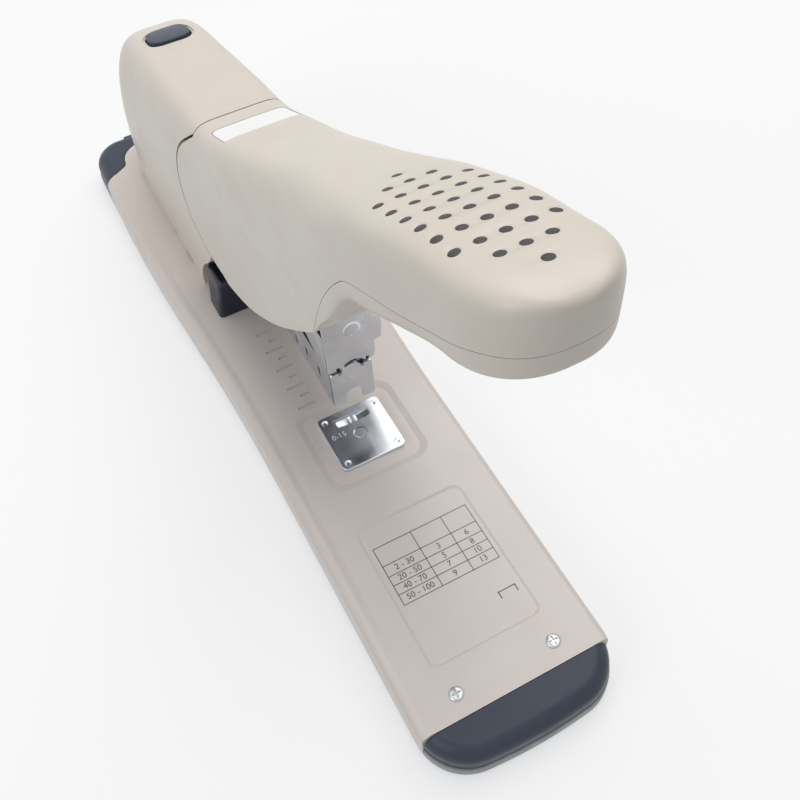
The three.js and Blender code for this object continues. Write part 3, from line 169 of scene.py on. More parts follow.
def turned(profile, place=(0, 0, 0), axis="z", steps=48):
    """A lathe piece: its half outline (radius, height) spun once about an axis through a place."""
    bm = bmesh.new()
    verts = [bm.verts.new((radius, 0, height)) for radius, height in profile]
    edges = [bm.edges.new(pair) for pair in zip(verts, verts[1:])]
    bmesh.ops.spin(bm, geom=verts + edges, cent=(0, 0, 0), axis=(0, 0, 1), dvec=(0, 0, 0),
                   angle=2 * math.pi, steps=steps, use_merge=True, use_duplicate=False)
    bmesh.ops.remove_doubles(bm, verts=bm.verts, dist=WELD)
    bmesh.ops.transform(bm, matrix=Matrix.Translation(place) @ TURN_TO[axis], verts=bm.verts)
    bmesh.ops.recalc_face_normals(bm, faces=bm.faces)
    return bm


def rod(radius, low, high, x=0, y=0, axis="z", z=0, steps=48):
    """A plain round bar, which also serves as a drill."""
    return turned([(0, low), (radius, low), (radius, high), (0, high)], (x, y, z), axis, steps)


# %% [markdown]
# Where one form is cut by another, a Boolean modifier does the cut on two working objects and the
# result is read back as an edit mesh. The working objects are removed at once, so the scene keeps
# only finished pieces.

# %% Cutting and joining


def combined(bm, tool, how):
    """One mesh from two, which are both used up."""
    items = []
    for part in (bm, tool):
        mesh = bpy.data.meshes.new("working")
        part.to_mesh(mesh)
        part.free()
        items.append(in_scene("working", mesh))
    cut = items[0].modifiers.new("cut", "BOOLEAN")
    cut.operation = how
    cut.object = items[1]
    cut.solver = "MANIFOLD"
    graph = bpy.context.evaluated_depsgraph_get()
    mesh = bpy.data.meshes.new_from_object(items[0].evaluated_get(graph))
    result = bmesh.new()
    result.from_mesh(mesh)
    bpy.data.meshes.remove(mesh)
    for item in items:
        data = item.data
        bpy.data.objects.remove(item)
        bpy.data.meshes.remove(data)
    return result


def carve(bm, *tools):
    for tool in tools:
        bm = combined(bm, tool, "DIFFERENCE")
    return bm


def added(bm, *tools):
    for tool in tools:
        bm = combined(bm, tool, "UNION")
    return bm


def inside(bm, tool):
    return combined(bm, tool, "INTERSECT")


def joined(*parts):
    """Several closed meshes in one, left as they are."""
    whole = bmesh.new()
    for part in parts:
        mesh = bpy.data.meshes.new("working")
        part.to_mesh(mesh)
        part.free()
        whole.from_mesh(mesh)
        bpy.data.meshes.remove(mesh)
    return whole


def mirrored(bm):
    """A copy on the other side of the middle plane."""
    other = bm.copy()
    bmesh.ops.scale(other, vec=(-1, 1, 1), verts=other.verts)
    bmesh.ops.reverse_faces(other, faces=other.faces)
    return other


def moved(bm, x=0, y=0, z=0):
    other = bm.copy()
    bmesh.ops.translate(other, verts=other.verts, vec=(x, y, z))
    return other


# %% [markdown]
# Real surfaces are never one number. Four effects are shared by several finishes, and each is a
# node group with named values: the fine grain of a moulding tool, the drawn lines of rolled steel,
# the soft marks that hands and dust leave, and the way an edge rubs paler.

# %% Shared surface effects


def feed(tree, socket, value):
    """Link a socket to another one, or give it a value."""
    if isinstance(value, bpy.types.NodeSocket):
        tree.links.new(value, socket)
    else:
        socket.default_value = value


def add_node(tree, kind, values=(), **settings):
    """A node with its settings made and its sockets filled by name or by number."""
    node = tree.nodes.new(kind)
    for label, value in settings.items():
        setattr(node, label, value)
    for label, value in dict(values).items():
        feed(tree, node.inputs[label], value)
    return node


def noise(tree, place, scale, detail, **more):
    values = {"Vector": place, "Scale": scale, "Detail": detail, **more}
    return add_node(tree, "ShaderNodeTexNoise", values).outputs["Fac"]


def spread(tree, value, low=0.0, high=1.0, to_low=0.0, to_high=1.0):
    """A value taken from one span to another, and held at its ends."""
    values = {"Value": value, "From Min": low, "From Max": high,
              "To Min": to_low, "To Max": to_high}
    return add_node(tree, "ShaderNodeMapRange", values).outputs["Result"]


def maths(tree, operation, first, second):
    node = add_node(tree, "ShaderNodeMath", {0: first, 1: second}, operation=operation)
    return node.outputs["Value"]


def effect(name, inputs, outputs, build):
    """A node group. build gets the place on the object and the inputs, and gives the outputs."""
    tree = bpy.data.node_groups.new(name, "ShaderNodeTree")
    for label, value in inputs.items():
        kind = "NodeSocketVector" if isinstance(value, tuple) else "NodeSocketFloat"
        socket = tree.interface.new_socket(name=label, in_out="INPUT", socket_type=kind)
        socket.default_value = value
    for label in outputs:
        tree.interface.new_socket(name=label, in_out="OUTPUT", socket_type="NodeSocketFloat")
    given = tree.nodes.new("NodeGroupInput").outputs
    end = tree.nodes.new("NodeGroupOutput")
    place = add_node(tree, "ShaderNodeTexCoord").outputs["Object"]
    for label, socket in zip(outputs, build(tree, place, given)):
        tree.links.new(socket, end.inputs[label])
    return tree


def moulded_grain(tree, place, given):
    fine = noise(tree, place, given["Scale"], detail=3.0, Roughness=0.6)
    broad = noise(tree, place, scale=260.0, detail=2.0)
    mixed = add_node(tree, "ShaderNodeMix", {"Factor": given["Blend"], "A": fine, "B": broad})
    return [mixed.outputs["Result"]]


def handling_marks(tree, place, given):
    cloud = noise(tree, place, given["Size"], detail=4.0, Roughness=0.55)
    along = add_node(tree, "ShaderNodeMapping", {"Vector": place, "Scale": (1.0, 0.3, 1.0)})
    smear = noise(tree, along.outputs["Vector"], scale=130.0, detail=5.0, Distortion=0.6)
    return [cloud, spread(tree, smear, 0.45, 0.75)]


def drawn_lines(tree, place, given):
    along = add_node(tree, "ShaderNodeVectorMath", {0: place, 1: given["Along"]},
                     operation="MULTIPLY")
    return [noise(tree, along.outputs["Vector"], given["Scale"], detail=2.0),
            noise(tree, place, scale=90.0, detail=3.0)]


def rubbed_edges(tree, place, given):
    breaks = noise(tree, place, scale=420.0, detail=3.0)
    edge = spread(tree, given["Pointiness"], given["Start"], given["Full"])
    return [maths(tree, "MULTIPLY", edge, breaks)]


GRAIN = effect("moulded grain", {"Scale": 2600.0, "Blend": 0.5}, ["Height"], moulded_grain)
MARKS = effect("handling marks", {"Size": 26.0}, ["Cloud", "Smear"], handling_marks)
DRAWN = effect("drawn lines", {"Along": (1.0, 0.04, 1.0), "Scale": 1800.0}, ["Height", "Tone"],
               drawn_lines)
RUB = effect("rubbed edges", {"Pointiness": 0.5, "Start": 0.53, "Full": 0.6}, ["Rub"],
             rubbed_edges)
print("effects", [g.name for g in bpy.data.node_groups])

# %% [markdown]
# Every finish is a Principled shader with the effects mixed into its colour, roughness and normal.
# One helper lays out that common tree. A finish then only says how deep its grain is, which shade
# its colour wanders to, and whether drawn lines take the grain's place.

# %% Finishes


def grouped(tree, group, **values):
    return add_node(tree, "ShaderNodeGroup", values, node_tree=group).outputs


def blend_colours(tree, factor, first, second):
    mix = add_node(tree, "ShaderNodeMix", {"Factor": factor}, data_type="RGBA")
    for socket, value in ((mix.inputs[6], first), (mix.inputs[7], second)):
        feed(tree, socket, (*value, 1.0) if isinstance(value, tuple) else value)
    return mix.outputs[2]


def cleared(owner):
    """The node tree of a material or a world, emptied."""
    owner.use_nodes = True
    owner.node_tree.nodes.clear()
    return owner.node_tree


def finish(name, colour, shade, rough=(0.35, 0.5), depth=0.02, grain=2600.0, metal=0.0,
           drawn=None, edge=None, rub_levels=(0.53, 0.6), dust=None, shine=0.5):
    """A material: colour wanders towards shade, and roughness wanders between its two values."""
    material = bpy.data.materials.new(name)
    tree = cleared(material)
    out = tree.nodes.new("ShaderNodeOutputMaterial")
    shader = add_node(tree, "ShaderNodeBsdfPrincipled", {"Metallic": metal,
                                                         "Specular IOR Level": shine})
    tree.links.new(shader.outputs["BSDF"], out.inputs["Surface"])
    marks = grouped(tree, MARKS)
    if drawn:
        relief = grouped(tree, DRAWN, Along=drawn)
        wander = relief["Tone"]
    else:
        relief = grouped(tree, GRAIN, Scale=grain)
        wander = marks["Cloud"]
    base = blend_colours(tree, spread(tree, wander, 0.35, 0.7), colour, shade)
    if dust:
        base = blend_colours(tree, marks["Smear"], base, dust)
    if edge:
        point = add_node(tree, "ShaderNodeNewGeometry").outputs["Pointiness"]
        rub = grouped(tree, RUB, Pointiness=point, Start=rub_levels[0], Full=rub_levels[1])
        base = blend_colours(tree, rub["Rub"], base, edge)
    tree.links.new(base, shader.inputs["Base Color"])
    tree.links.new(spread(tree, marks["Smear"], 0.0, 1.0, *rough), shader.inputs["Roughness"])
    bump = add_node(tree, "ShaderNodeBump", {"Height": relief["Height"], "Strength": 1.0,
                                             "Distance": depth * MILLIMETRE})
    tree.links.new(bump.outputs["Normal"], shader.inputs["Normal"])
    return material


PLASTIC = finish("warm grey plastic", (0.7, 0.637, 0.556), (0.675, 0.612, 0.532),
                 rough=(0.34, 0.46), depth=0.012, dust=(0.69, 0.627, 0.546))
PAINT = finish("warm grey paint", (0.7, 0.634, 0.592), (0.672, 0.607, 0.566), rough=(0.3, 0.42),
               grain=900.0, edge=(0.76, 0.71, 0.67), rub_levels=(0.54, 0.66))
DARK = finish("slate plastic", (0.051, 0.063, 0.088), (0.042, 0.053, 0.075), rough=(0.34, 0.46),
              depth=0.014, dust=(0.053, 0.064, 0.09), shine=0.22)
# the flange's paler colour is a painted reflection of the white floor on the caps' slate plastic
SLATE_WITH_PAINTED_REFLECTION = finish("slate plastic with painted floor reflection", (0.3, 0.305, 0.325), (0.26, 0.265, 0.285), rough=(0.3, 0.42),
               depth=0.014, dust=(0.22, 0.225, 0.245))
NAVY = finish("navy plastic", (0.008, 0.012, 0.028), (0.006, 0.009, 0.022), rough=(0.3, 0.42),
              depth=0.014, dust=(0.014, 0.018, 0.034))
CHROME = finish("bright plated steel", (0.7, 0.735, 0.79), (0.6, 0.635, 0.69), rough=(0.2, 0.32),
                depth=0.0015, metal=1.0, drawn=(1.0, 1.0, 0.05))
ZINC = finish("zinc plated steel", (0.5, 0.52, 0.53), (0.4, 0.42, 0.43), rough=(0.28, 0.42),
              depth=0.003, metal=1.0, drawn=(1.0, 0.06, 1.0))
BLACK_STEEL = finish("black steel", (0.05, 0.05, 0.055), (0.036, 0.036, 0.04), rough=(0.38, 0.55),
                     depth=0.012, grain=1500.0, edge=(0.12, 0.12, 0.125))
SPRING_STEEL = finish("oiled spring steel", (0.2, 0.2, 0.21), (0.13, 0.13, 0.14),
                      rough=(0.25, 0.4), depth=0.004, metal=1.0, drawn=(1.0, 1.0, 0.2))
RUBBER = finish("black rubber", (0.03, 0.03, 0.031), (0.022, 0.022, 0.023), rough=(0.6, 0.8),
                depth=0.04, grain=700.0, dust=(0.055, 0.053, 0.05))
PAPER = finish("white label paper", (0.95, 0.95, 0.945), (0.92, 0.92, 0.915), rough=(0.5, 0.62),
               depth=0.01, grain=1800.0)
INK = finish("dark print", (0.05, 0.046, 0.046), (0.085, 0.078, 0.078), rough=(0.4, 0.55),
             depth=0.003)
ETCHED = finish("etched figures", (0.8, 0.82, 0.85), (0.74, 0.76, 0.79), rough=(0.5, 0.6),
                depth=0.003)
# the grip dots' near-black is painted shade for the dark inside of each small recess
DOT_PAINTED_SHADE = finish("painted shade of grip dot recesses", (0.022, 0.02, 0.022), (0.036, 0.033, 0.034),
                   rough=(0.45, 0.6))
print("finishes", [m.name for m in bpy.data.materials])

# %% [markdown]
# The camera stands above the front left corner, as the photograph's did, and is made first so that
# every later step can be looked at. Its three axes and its place were worked out from the corners
# of the base, the anvil and the lever.

# %% Camera
FRAME_PIXELS, FOCAL_PIXELS = 800, 953.435
SENSOR, NEAREST = 36, 0.01
CAMERA_PLACE = (-0.06395, -0.22682, 0.29083)
CAMERA_RIGHT, CAMERA_BACK = (0.8838, -0.4650, -0.0515), (-0.2407, -0.5464, 0.8022)
camera_data = bpy.data.cameras.new("camera")
camera_data.sensor_width = SENSOR
camera_data.lens = SENSOR * FOCAL_PIXELS / FRAME_PIXELS
camera_data.clip_start = NEAREST
camera = in_scene("camera", camera_data)
back = Vector(CAMERA_BACK).normalized()
up = back.cross(Vector(CAMERA_RIGHT).normalized()).normalized()
turn = Matrix((up.cross(back), up, back)).transposed().to_4x4()
camera.matrix_world = Matrix.Translation(CAMERA_PLACE) @ turn
bpy.context.scene.camera = camera
print("lens", round(camera_data.lens, 2))

# %% [markdown]
# The hand lever and the rear cover are one continuous moulded form that is parted by a round seam.
# It is a row of sections, like the frames of a boat. Each section is a rounded square that draws
# in towards its top. They stand upright along the lever, and fan down to the base behind the
# cover. A skin that bridges the sections is smooth in a way that boxes and bevels could not be.

# %% Sections of the moulded form
PIN_Y, PIN_Z = 66, 62
SEAM_RADIUS = 24.6
SEAM_TOP, SEAM_SETBACK, SEAM_GAP = 92.5, 3.8, 0.9
TIP_REACH, TIP_TOP = 105.5, 171
BUTTON_Y, BUTTON_TOP = 149, 75
TURN_Y = 142
COVER_HALF, COVER_BULGE, FOOT_BULGE = 22, 2.5, 0.35
GRIP_HALF, GRIP_DEPTH = 16.5, 15
NOSE_LENGTH, NOSE_LIFT, NOSE_POWER, NOSE_BLUNT = 18.5, 7, 2.4, 0.55
NOSE_STEPS, NOSE_TURN = 16, 87.5
FULLNESS, WALL = 2.2, 2.2
RING_POINTS, FAN_STEPS, BLEND_STEPS = 96, 4, 6
LEAST_DROP = 0.1
# narrowing and squareness of the cover at the base, and what the fan adds up to the upright
FAN_FOOT, FAN_RISE = (0.04, 3.6), (0.08, 1.4)
# share of the way back from the pin, narrowing, squareness
UPRIGHT_ROWS = [(0.7, 0.14, 6), (0.42, 0.155, 6.8)]
# place along the lever, rise of the top, drop to the widest level, drop to the lowest level,
# half width, narrowing towards the top, squareness
LEVER_ROWS = [
    (0.0, 0, 5.35, 5.5, 1.3, 0.16, 7.6),
    (0.152, 0.15, 5.3, 5.5, 1.28, 0.15, 6.8),
    (0.315, 0.325, 5, 5.25, 1.2, 0.13, 5.8),
    (0.432, 0.467, 3.9, 4.3, 1.12, 0.1, 5),
    (0.524, 0.574, 2.8, 3.6, 1.07, 0.07, 4.5),
    (0.595, 0.656, 1.9, 2.85, 1.03, 0.04, 4.4),
    (0.666, 0.738, 1.2, 2.0, 1, 0.02, 4.6),
    (0.735, 0.81, 1, 1.9, 0.99, 0.02, 4.8),
    (0.816, 0.896, 1, 1.73, 0.96, 0.02, 4.9),
    (0.906, 0.965, 0.95, 1.5, 0.91, 0.02, 4.9),
]
TURN_ROWS = [(1, 1), (0.92, 0.985), (0.764, 0.965), (0.62, 0.909), (0.455, 0.819), (0.235, 0.752),
             (0, 0.752)]


def signed_power(value, power):
    return math.copysign(abs(value) ** power, value)


def section(half, top, bottom, narrowing, square, bulge=0.0):
    """Points (across, up) of one section, counted round from the right."""
    points = []
    for i in range(RING_POINTS):
        angle = 2 * math.pi * i / RING_POINTS
        across = signed_power(math.cos(angle), 2 / square)
        rise = signed_power(math.sin(angle), 2 / square)
        level = max(rise, 0)
        width = (half + 4 * bulge * level * (1 - level)) * across
        width *= 1 - narrowing * level ** FULLNESS
        points.append((width, rise * top if rise > 0 else rise * bottom))
    return points


def curve_through(points, steps):
    """A smooth path through points of any dimension, with an even number of steps between them."""
    points = [Vector(p) for p in points]
    gaps = [max((b - a).length, 1e-6) for a, b in zip(points, points[1:])]
    slopes = []
    for i, point in enumerate(points):
        if i == 0:
            slopes.append((points[1] - point) / gaps[0])
        elif i == len(points) - 1:
            slopes.append((point - points[i - 1]) / gaps[-1])
        else:
            before = (point - points[i - 1]) / gaps[i - 1]
            after = (points[i + 1] - point) / gaps[i]
            slopes.append((before * gaps[i] + after * gaps[i - 1]) / (gaps[i - 1] + gaps[i]))
    path = []
    for i, gap in enumerate(gaps):
        for step in range(steps):
            t = step / steps
            path.append(points[i] * (2 * t ** 3 - 3 * t ** 2 + 1)
                        + slopes[i] * gap * (t ** 3 - 2 * t ** 2 + t)
                        + points[i + 1] * (3 * t ** 2 - 2 * t ** 3)
                        + slopes[i + 1] * gap * (t ** 3 - t ** 2))
    return path + [points[-1]]


def top_line(y):
    return SEAM_TOP - (SEAM_TOP - BUTTON_TOP) * (y - PIN_Y) / (BUTTON_Y - PIN_Y)


def cover_sections(inset):
    """Rings of the cover: a fan from the base up to the upright, then two upright ones."""
    rings = []
    for share, reach in reversed(curve_through(TURN_ROWS, FAN_STEPS)):
        angle = math.pi / 2 * share
        narrowing, square = (foot + rise * share for foot, rise in zip(FAN_FOOT, FAN_RISE))
        size = section(COVER_HALF - inset, top_line(TURN_Y) * reach - inset, 0, narrowing, square,
                       COVER_BULGE * (FOOT_BULGE + (1 - FOOT_BULGE) * share))
        rings.append([Vector((u, TURN_Y + v * math.cos(angle), v * math.sin(angle)))
                      for u, v in size])
    for share, narrowing, square in UPRIGHT_ROWS:
        y = PIN_Y + share * (TURN_Y - PIN_Y)
        size = section(COVER_HALF - inset, top_line(y) - inset, 0, narrowing, square,
                       COVER_BULGE * share)
        rings.append([Vector((u, y, v)) for u, v in size])
    return rings


def lever_sections(inset):
    """Rings of the lever, from the seam to its blunt, rounded nose."""
    rings = []
    length = PIN_Y + TIP_REACH
    for along, rise, widest, lowest, width, narrowing, square in LEVER_ROWS:
        crest = SEAM_TOP + rise * (TIP_TOP - SEAM_TOP)
        level = crest - widest * GRIP_DEPTH
        size = (width * GRIP_HALF - inset, crest - level - inset,
                max((lowest - widest) * GRIP_DEPTH - inset, LEAST_DROP), narrowing, square)
        y = PIN_Y - along * length
        rings.append([Vector((u, y, level + v)) for u, v in section(*size)])
    half, top, bottom, narrowing, square = size
    for step in range(1, NOSE_STEPS + 1):
        angle = math.radians(NOSE_TURN) * step / NOSE_STEPS
        share = math.sin(angle) ** (2 / NOSE_POWER)
        shrink = math.cos(angle) ** (2 / NOSE_POWER)
        depth = NOSE_BLUNT + (1 - NOSE_BLUNT) * shrink
        ring = section(half * shrink, top * depth, bottom * depth, narrowing, square)
        rings.append([Vector((u, y - (NOSE_LENGTH - inset) * share, level + NOSE_LIFT * share + v))
                      for u, v in ring])
    return rings


def form_sections(inset):
    """The whole row of rings, with smooth ones added between the widely spaced ones."""
    cover = cover_sections(inset)
    rows = cover + lever_sections(inset)
    first = len(cover) - len(UPRIGHT_ROWS) - 1
    last = len(cover) + len(LEVER_ROWS) - 1
    middle = [curve_through([row[i] for row in rows[first:last + 2]], BLEND_STEPS)
              for i in range(RING_POINTS)]
    between = [list(ring) for ring in zip(*middle)][:-BLEND_STEPS]
    return rows[:first] + between + rows[last + 1:]


def skin(rings):
    """A closed skin: a circle of points takes each ring's shape, and the rings are bridged."""
    bm = bmesh.new()
    loops = []
    for ring in rings:
        made = bmesh.ops.create_circle(bm, cap_ends=False, radius=1, segments=len(ring))["verts"]
        for vert, place in zip(made, ring):
            vert.co = place
        loops.append(list({edge for vert in made for edge in vert.link_edges}))
    for first, second in zip(loops, loops[1:]):
        bmesh.ops.bridge_loops(bm, edges=first + second)
    for loop in (loops[0], loops[-1]):
        bmesh.ops.contextual_create(bm, geom=loop)
    bmesh.ops.recalc_face_normals(bm, faces=bm.faces)
    return bm


OUTER = skin(form_sections(0))
INNER = skin(form_sections(WALL))
INNER_WIDE = skin(form_sections(WALL / 2))
print("form", len(OUTER.faces), "faces, volume", round(OUTER.calc_volume() / 1000), "cm3")

# %% [markdown]
# Seen from the side, one line parts the lever's shells from the cover: straight down at the top,
# round the pin, then forward under the skirt and up into the arch. A second line parts the grip's
# underside from its top. Each line is drawn once, closed far outside the form and pulled right
# across it.

# %% Parting lines
ACROSS = COVER_HALF + BEYOND
SKIRT_CORNER = (-25, 90)
LOBE_STEPS, LINE_STEPS, SPLIT_STEPS, ARC_STEPS = 10, 6, 5, 24
ARCH_REACH, ARCH_RISE, ARCH_EXIT = 30, 38, 0.53
SPLIT_REACH, SPLIT_RISE, SPLIT_EXIT, SPLIT_GAP = 88, 62, 1.16, 0.1
SKIRT = [(0.143, 0.02), (0.39, 0.2), (0.648, 0.479), (0.879, 0.81), (1, 1)]
ARCH = [(0, 0), (0.167, 0.21), (0.333, 0.38), (0.567, 0.66), (0.833, 0.88), (1.1, 0.97)]
# angle round the pin and radius of the lever's rear end
LOBE = [(77, 25.2), (65, 23.3), (50, 22.5), (30, 22.7), (0, 23.3), (-40, 24.1), (-70, 24.6),
        (-105, 24.6)]
SPLIT = [(0, 0), (0.055, 0.184), (0.148, 0.426), (0.224, 0.573), (0.28, 0.658), (0.398, 0.758),
         (0.557, 0.871), (0.716, 0.992), (0.852, 1.097), (0.94, 1.14)]


def round_pin(angle, radius):
    """A point behind the pin: zero degrees is level and 90 is straight up."""
    turn = math.radians(angle)
    return (PIN_Y + radius * math.cos(turn), PIN_Z + radius * math.sin(turn))


def seam_arc(radius, start, end):
    return [round_pin(start + (end - start) * i / ARC_STEPS, radius)
            for i in range(ARC_STEPS + 1)]


def lobe_line(gap):
    """The round rear end of the lever, from its top corner down."""
    return [round_pin(angle, radius + gap) for angle, radius in curve_through(LOBE, LOBE_STEPS)]


def pairs(path):
    return [tuple(point) for point in path]


def skirt_line():
    low = PIN_Z - SEAM_RADIUS
    points = [(PIN_Y + along * (SKIRT_CORNER[0] - PIN_Y), low + rise * (SKIRT_CORNER[1] - low))
              for along, rise in SKIRT]
    return pairs(curve_through(points, LINE_STEPS))


def arch_line():
    points = [(SKIRT_CORNER[0] - along * ARCH_REACH, SKIRT_CORNER[1] + rise * ARCH_RISE)
              for along, rise in ARCH]
    return pairs(curve_through(points, LINE_STEPS))


def lever_region(gap):
    """Everything on the lever's side of the round seam."""
    high, tip = TIP_TOP + SEAM_TOP, -TIP_REACH - BEYOND
    back = PIN_Y + SEAM_SETBACK + gap
    points = [(back, high), (back, SEAM_TOP), *lobe_line(gap), *skirt_line(), *arch_line()[1:],
              (tip, SKIRT_CORNER[1] + ARCH_RISE * ARCH_EXIT), (tip, high)]
    return prism(points, -ACROSS, ACROSS, "x")


def grip_region(gap):
    """Everything under the grip's parting line."""
    low, tip = SKIRT_CORNER[1] - BEYOND, -TIP_REACH - BEYOND
    line = [(SKIRT_CORNER[0] - along * SPLIT_REACH + gap,
             SKIRT_CORNER[1] + rise * SPLIT_RISE + gap) for along, rise in SPLIT]
    points = [(SKIRT_CORNER[0] + gap, low), *pairs(curve_through(line, SPLIT_STEPS)),
              (tip, SKIRT_CORNER[1] + SPLIT_RISE * SPLIT_EXIT + gap), (tip, low)]
    return prism(points, -ACROSS, ACROSS, "x")


# %% [markdown]
# Round dots give the palm some hold on the grip. Each is a small black disc at the bottom of a
# shallow countersink; the disc's black is painted shade for the dark inside of a small recess. A
# ray dropped on the form finds the spot and the direction of each, so the pattern wraps over the
# crown of the grip as the real one does.

# %% Places of the grip dots
DOT_RADIUS, DOT_RIM, DOT_PITCH, DOT_SIDES = 1.15, 1.65, 4.9, 24
DOT_CENTRE_Y = [-44.7, -50.5, -56.3, -62.1, -67.9, -73.6, -79.4, -85.3, -91.3, -97.4]
DOT_COLUMNS = {-2: (2, 8), -1: (1, 9), 0: (0, 10), 1: (1, 9), 2: (2, 8)}
RAY_START = 300


def dot_places():
    """A matrix for each dot that stands it on the form."""
    surface = BVHTree.FromBMesh(OUTER)
    places = []
    for column, (start, stop) in DOT_COLUMNS.items():
        for y in DOT_CENTRE_Y[start:stop]:
            place, normal, _, _ = surface.ray_cast(Vector((column * DOT_PITCH, y, RAY_START)),
                                                   Vector((0, 0, -1)))
            turn = normal.to_track_quat("Z", "Y").to_matrix().to_4x4()
            places.append(Matrix.Translation(place) @ turn)
    return places


DOT_PLACES = dot_places()
print("dots", len(DOT_PLACES))


def at_each_dot(profile):
    """The same small lathe piece at every dot, as one mesh."""
    pieces = []
    for place in DOT_PLACES:
        piece = turned(profile, steps=DOT_SIDES)
        bmesh.ops.transform(piece, matrix=place, verts=piece.verts)
        pieces.append(piece)
    return joined(*pieces)


# %% [markdown]
# The upper lever shell is a thin moulding, open below. It is the outer form kept inside the
# lever's region, hollowed by the inner form, less what belongs to the grip's underside. A curved
# apron behind the seam closes a part of the gap that opens as the lever goes down, and two posts
# take the grip's screws.

# %% Upper lever shell
LABEL_HALF, LABEL_BACK, LABEL_LENGTH, LABEL_DEPTH, LABEL_CORNER = 12.2, 5.4, 15.6, 0.5, 1.6
GRIP_SCREWS, SCREW_HOLE, SCREW_REACH = (-66, -85), 1.9, 20.5
BOSS, BOSS_CLEAR = 4.6, 1.5
APRON, APRON_THICK, APRON_TURN = 21.6, 2.4, (52, 92)
WEB_LINE = [(10, 92), (-19.8, 113.9), (-44.8, 135.6), (-83, 155.1)]
DOT_SEAT = [(0, -0.55), (DOT_RADIUS + 0.04, -0.55), (DOT_RADIUS + 0.04, -0.22), (DOT_RIM, 0.05),
            (DOT_RIM, 1), (0, 1)]


def web_height(y):
    """Height of the steel lever's web inside the grip."""
    for (y0, z0), (y1, z1) in zip(WEB_LINE, WEB_LINE[1:]):
        if y >= y1:
            return z0 + (z1 - z0) * (y - y0) / (y1 - y0)
    return WEB_LINE[-1][1]


def grip_underside(y):
    """Lowest level of the outer form at a place along the lever."""
    along = (PIN_Y - y) / (PIN_Y + TIP_REACH)
    for row, after in zip(LEVER_ROWS, LEVER_ROWS[1:]):
        if along <= after[0]:
            share = (along - row[0]) / (after[0] - row[0])
            rise, lowest = (row[i] + (after[i] - row[i]) * share for i in (1, 3))
            return SEAM_TOP + rise * (TIP_TOP - SEAM_TOP) - lowest * GRIP_DEPTH
    return TIP_TOP


def label_window(gap, high, low):
    """A sheet that follows the form, between two depths under its surface."""
    half, rear = LABEL_HALF + gap, PIN_Y - LABEL_BACK
    column = plate(-half, half, rear - LABEL_LENGTH - gap, rear + gap, SEAM_TOP - LABEL_LENGTH,
                   TIP_TOP, LABEL_CORNER)
    return carve(inside(column, moved(OUTER, z=-high)), moved(OUTER, z=-low))


def lever_blank():
    """The hollow form on the lever's side of the seam."""
    return carve(inside(OUTER.copy(), lever_region(0)), INNER.copy())


def make_upper_shell():
    shell = carve(lever_blank(), grip_region(SPLIT_GAP))
    start, end = APRON_TURN
    apron = seam_arc(APRON - APRON_THICK, start, end) + seam_arc(APRON, end, start)
    apron = inside(prism(apron, -ACROSS, ACROSS, "x"), INNER_WIDE.copy())
    shell = added(shell, inside(apron, lever_region(0)))
    for y in GRIP_SCREWS:
        post = rod(BOSS, web_height(y) + BOSS_CLEAR, TIP_TOP, y=y)
        shell = added(shell, inside(post, INNER_WIDE.copy()))
        shell = carve(shell, rod(SCREW_HOLE, 0, grip_underside(y) + SCREW_REACH, y=y))
    return carve(shell, at_each_dot(DOT_SEAT), label_window(SEAT, -BEYOND, LABEL_DEPTH))


upper_shell = make_upper_shell()
print("upper shell volume", round(upper_shell.calc_volume()), "mm3")
as_piece(upper_shell, "lever_upper_shell", PLASTIC, "handle_shell")

# %% [markdown]
# The grip's underside is a second moulding that carries a lining up into the arch. It takes the
# same forms and the other side of the parting line, so the joint between the two is a true even
# gap.

# %% Grip underside
LINING = 2
HEAD_SEAT, HEAD_WELL = 3.3, 3.2
POST_DROP, WELL_DROP, HOLE_RISE = 9, 20, 30


def make_grip_underside():
    line = arch_line()
    lining = prism(line + [(y + LINING, z + LINING) for y, z in reversed(line)],
                   -ACROSS, ACROSS, "x")
    shell = added(lever_blank(), inside(lining, INNER_WIDE.copy()))
    shell = inside(shell, grip_region(0))
    for y in GRIP_SCREWS:
        seat = grip_underside(y) + HEAD_SEAT
        post = rod(BOSS, seat - POST_DROP, seat + BOSS, y=y)
        shell = added(shell, inside(post, OUTER.copy()))
        shell = carve(shell, turned([(0, seat - WELL_DROP), (HEAD_WELL, seat - WELL_DROP),
                                     (HEAD_WELL, seat), (SCREW_HOLE, seat),
                                     (SCREW_HOLE, seat + HOLE_RISE), (0, seat + HOLE_RISE)],
                                    (0, y, 0)))
    return shell


as_piece(make_grip_underside(), "grip_underside", PLASTIC, "grip_cover")

# %% [markdown]
# The rear cover is what the round seam leaves of the form behind the pin. It stands on the base
# with its front cut back round the paper guide. The button's well is a straight column, and a
# shallow dish round it lets a thumb find the button.

# %% Rear cover
BUTTON_HALF, BUTTON_LENGTH, BUTTON_CORNER, BUTTON_RIM = 8, 6.7, 4.6, 1.4
BUTTON_WELL, BUTTON_DISH = 59.5, 0.5
SLITS, SLIT_HEIGHT, SLIT_CORNER = [(110, 118), (130.5, 133), (168, 176)], 1.3, 0.3
# front edge over the paper guide: place behind the pin, height, rounding
COVER_FRONT = [(31.5, 3, 4), (23.5, 17.5, 8), (11.5, 28, 5)]
COVER_LIP = 70.4
CUT_FRONT, CUT_START, CUT_LOW, CUT_TOP = -120, PIN_Y - 4, -4, 260


def button_column(gap, low):
    return plate(-BUTTON_HALF - gap, BUTTON_HALF + gap, BUTTON_Y - BUTTON_LENGTH - gap,
                 BUTTON_Y + BUTTON_LENGTH + gap, low, SEAM_TOP, BUTTON_CORNER + gap)


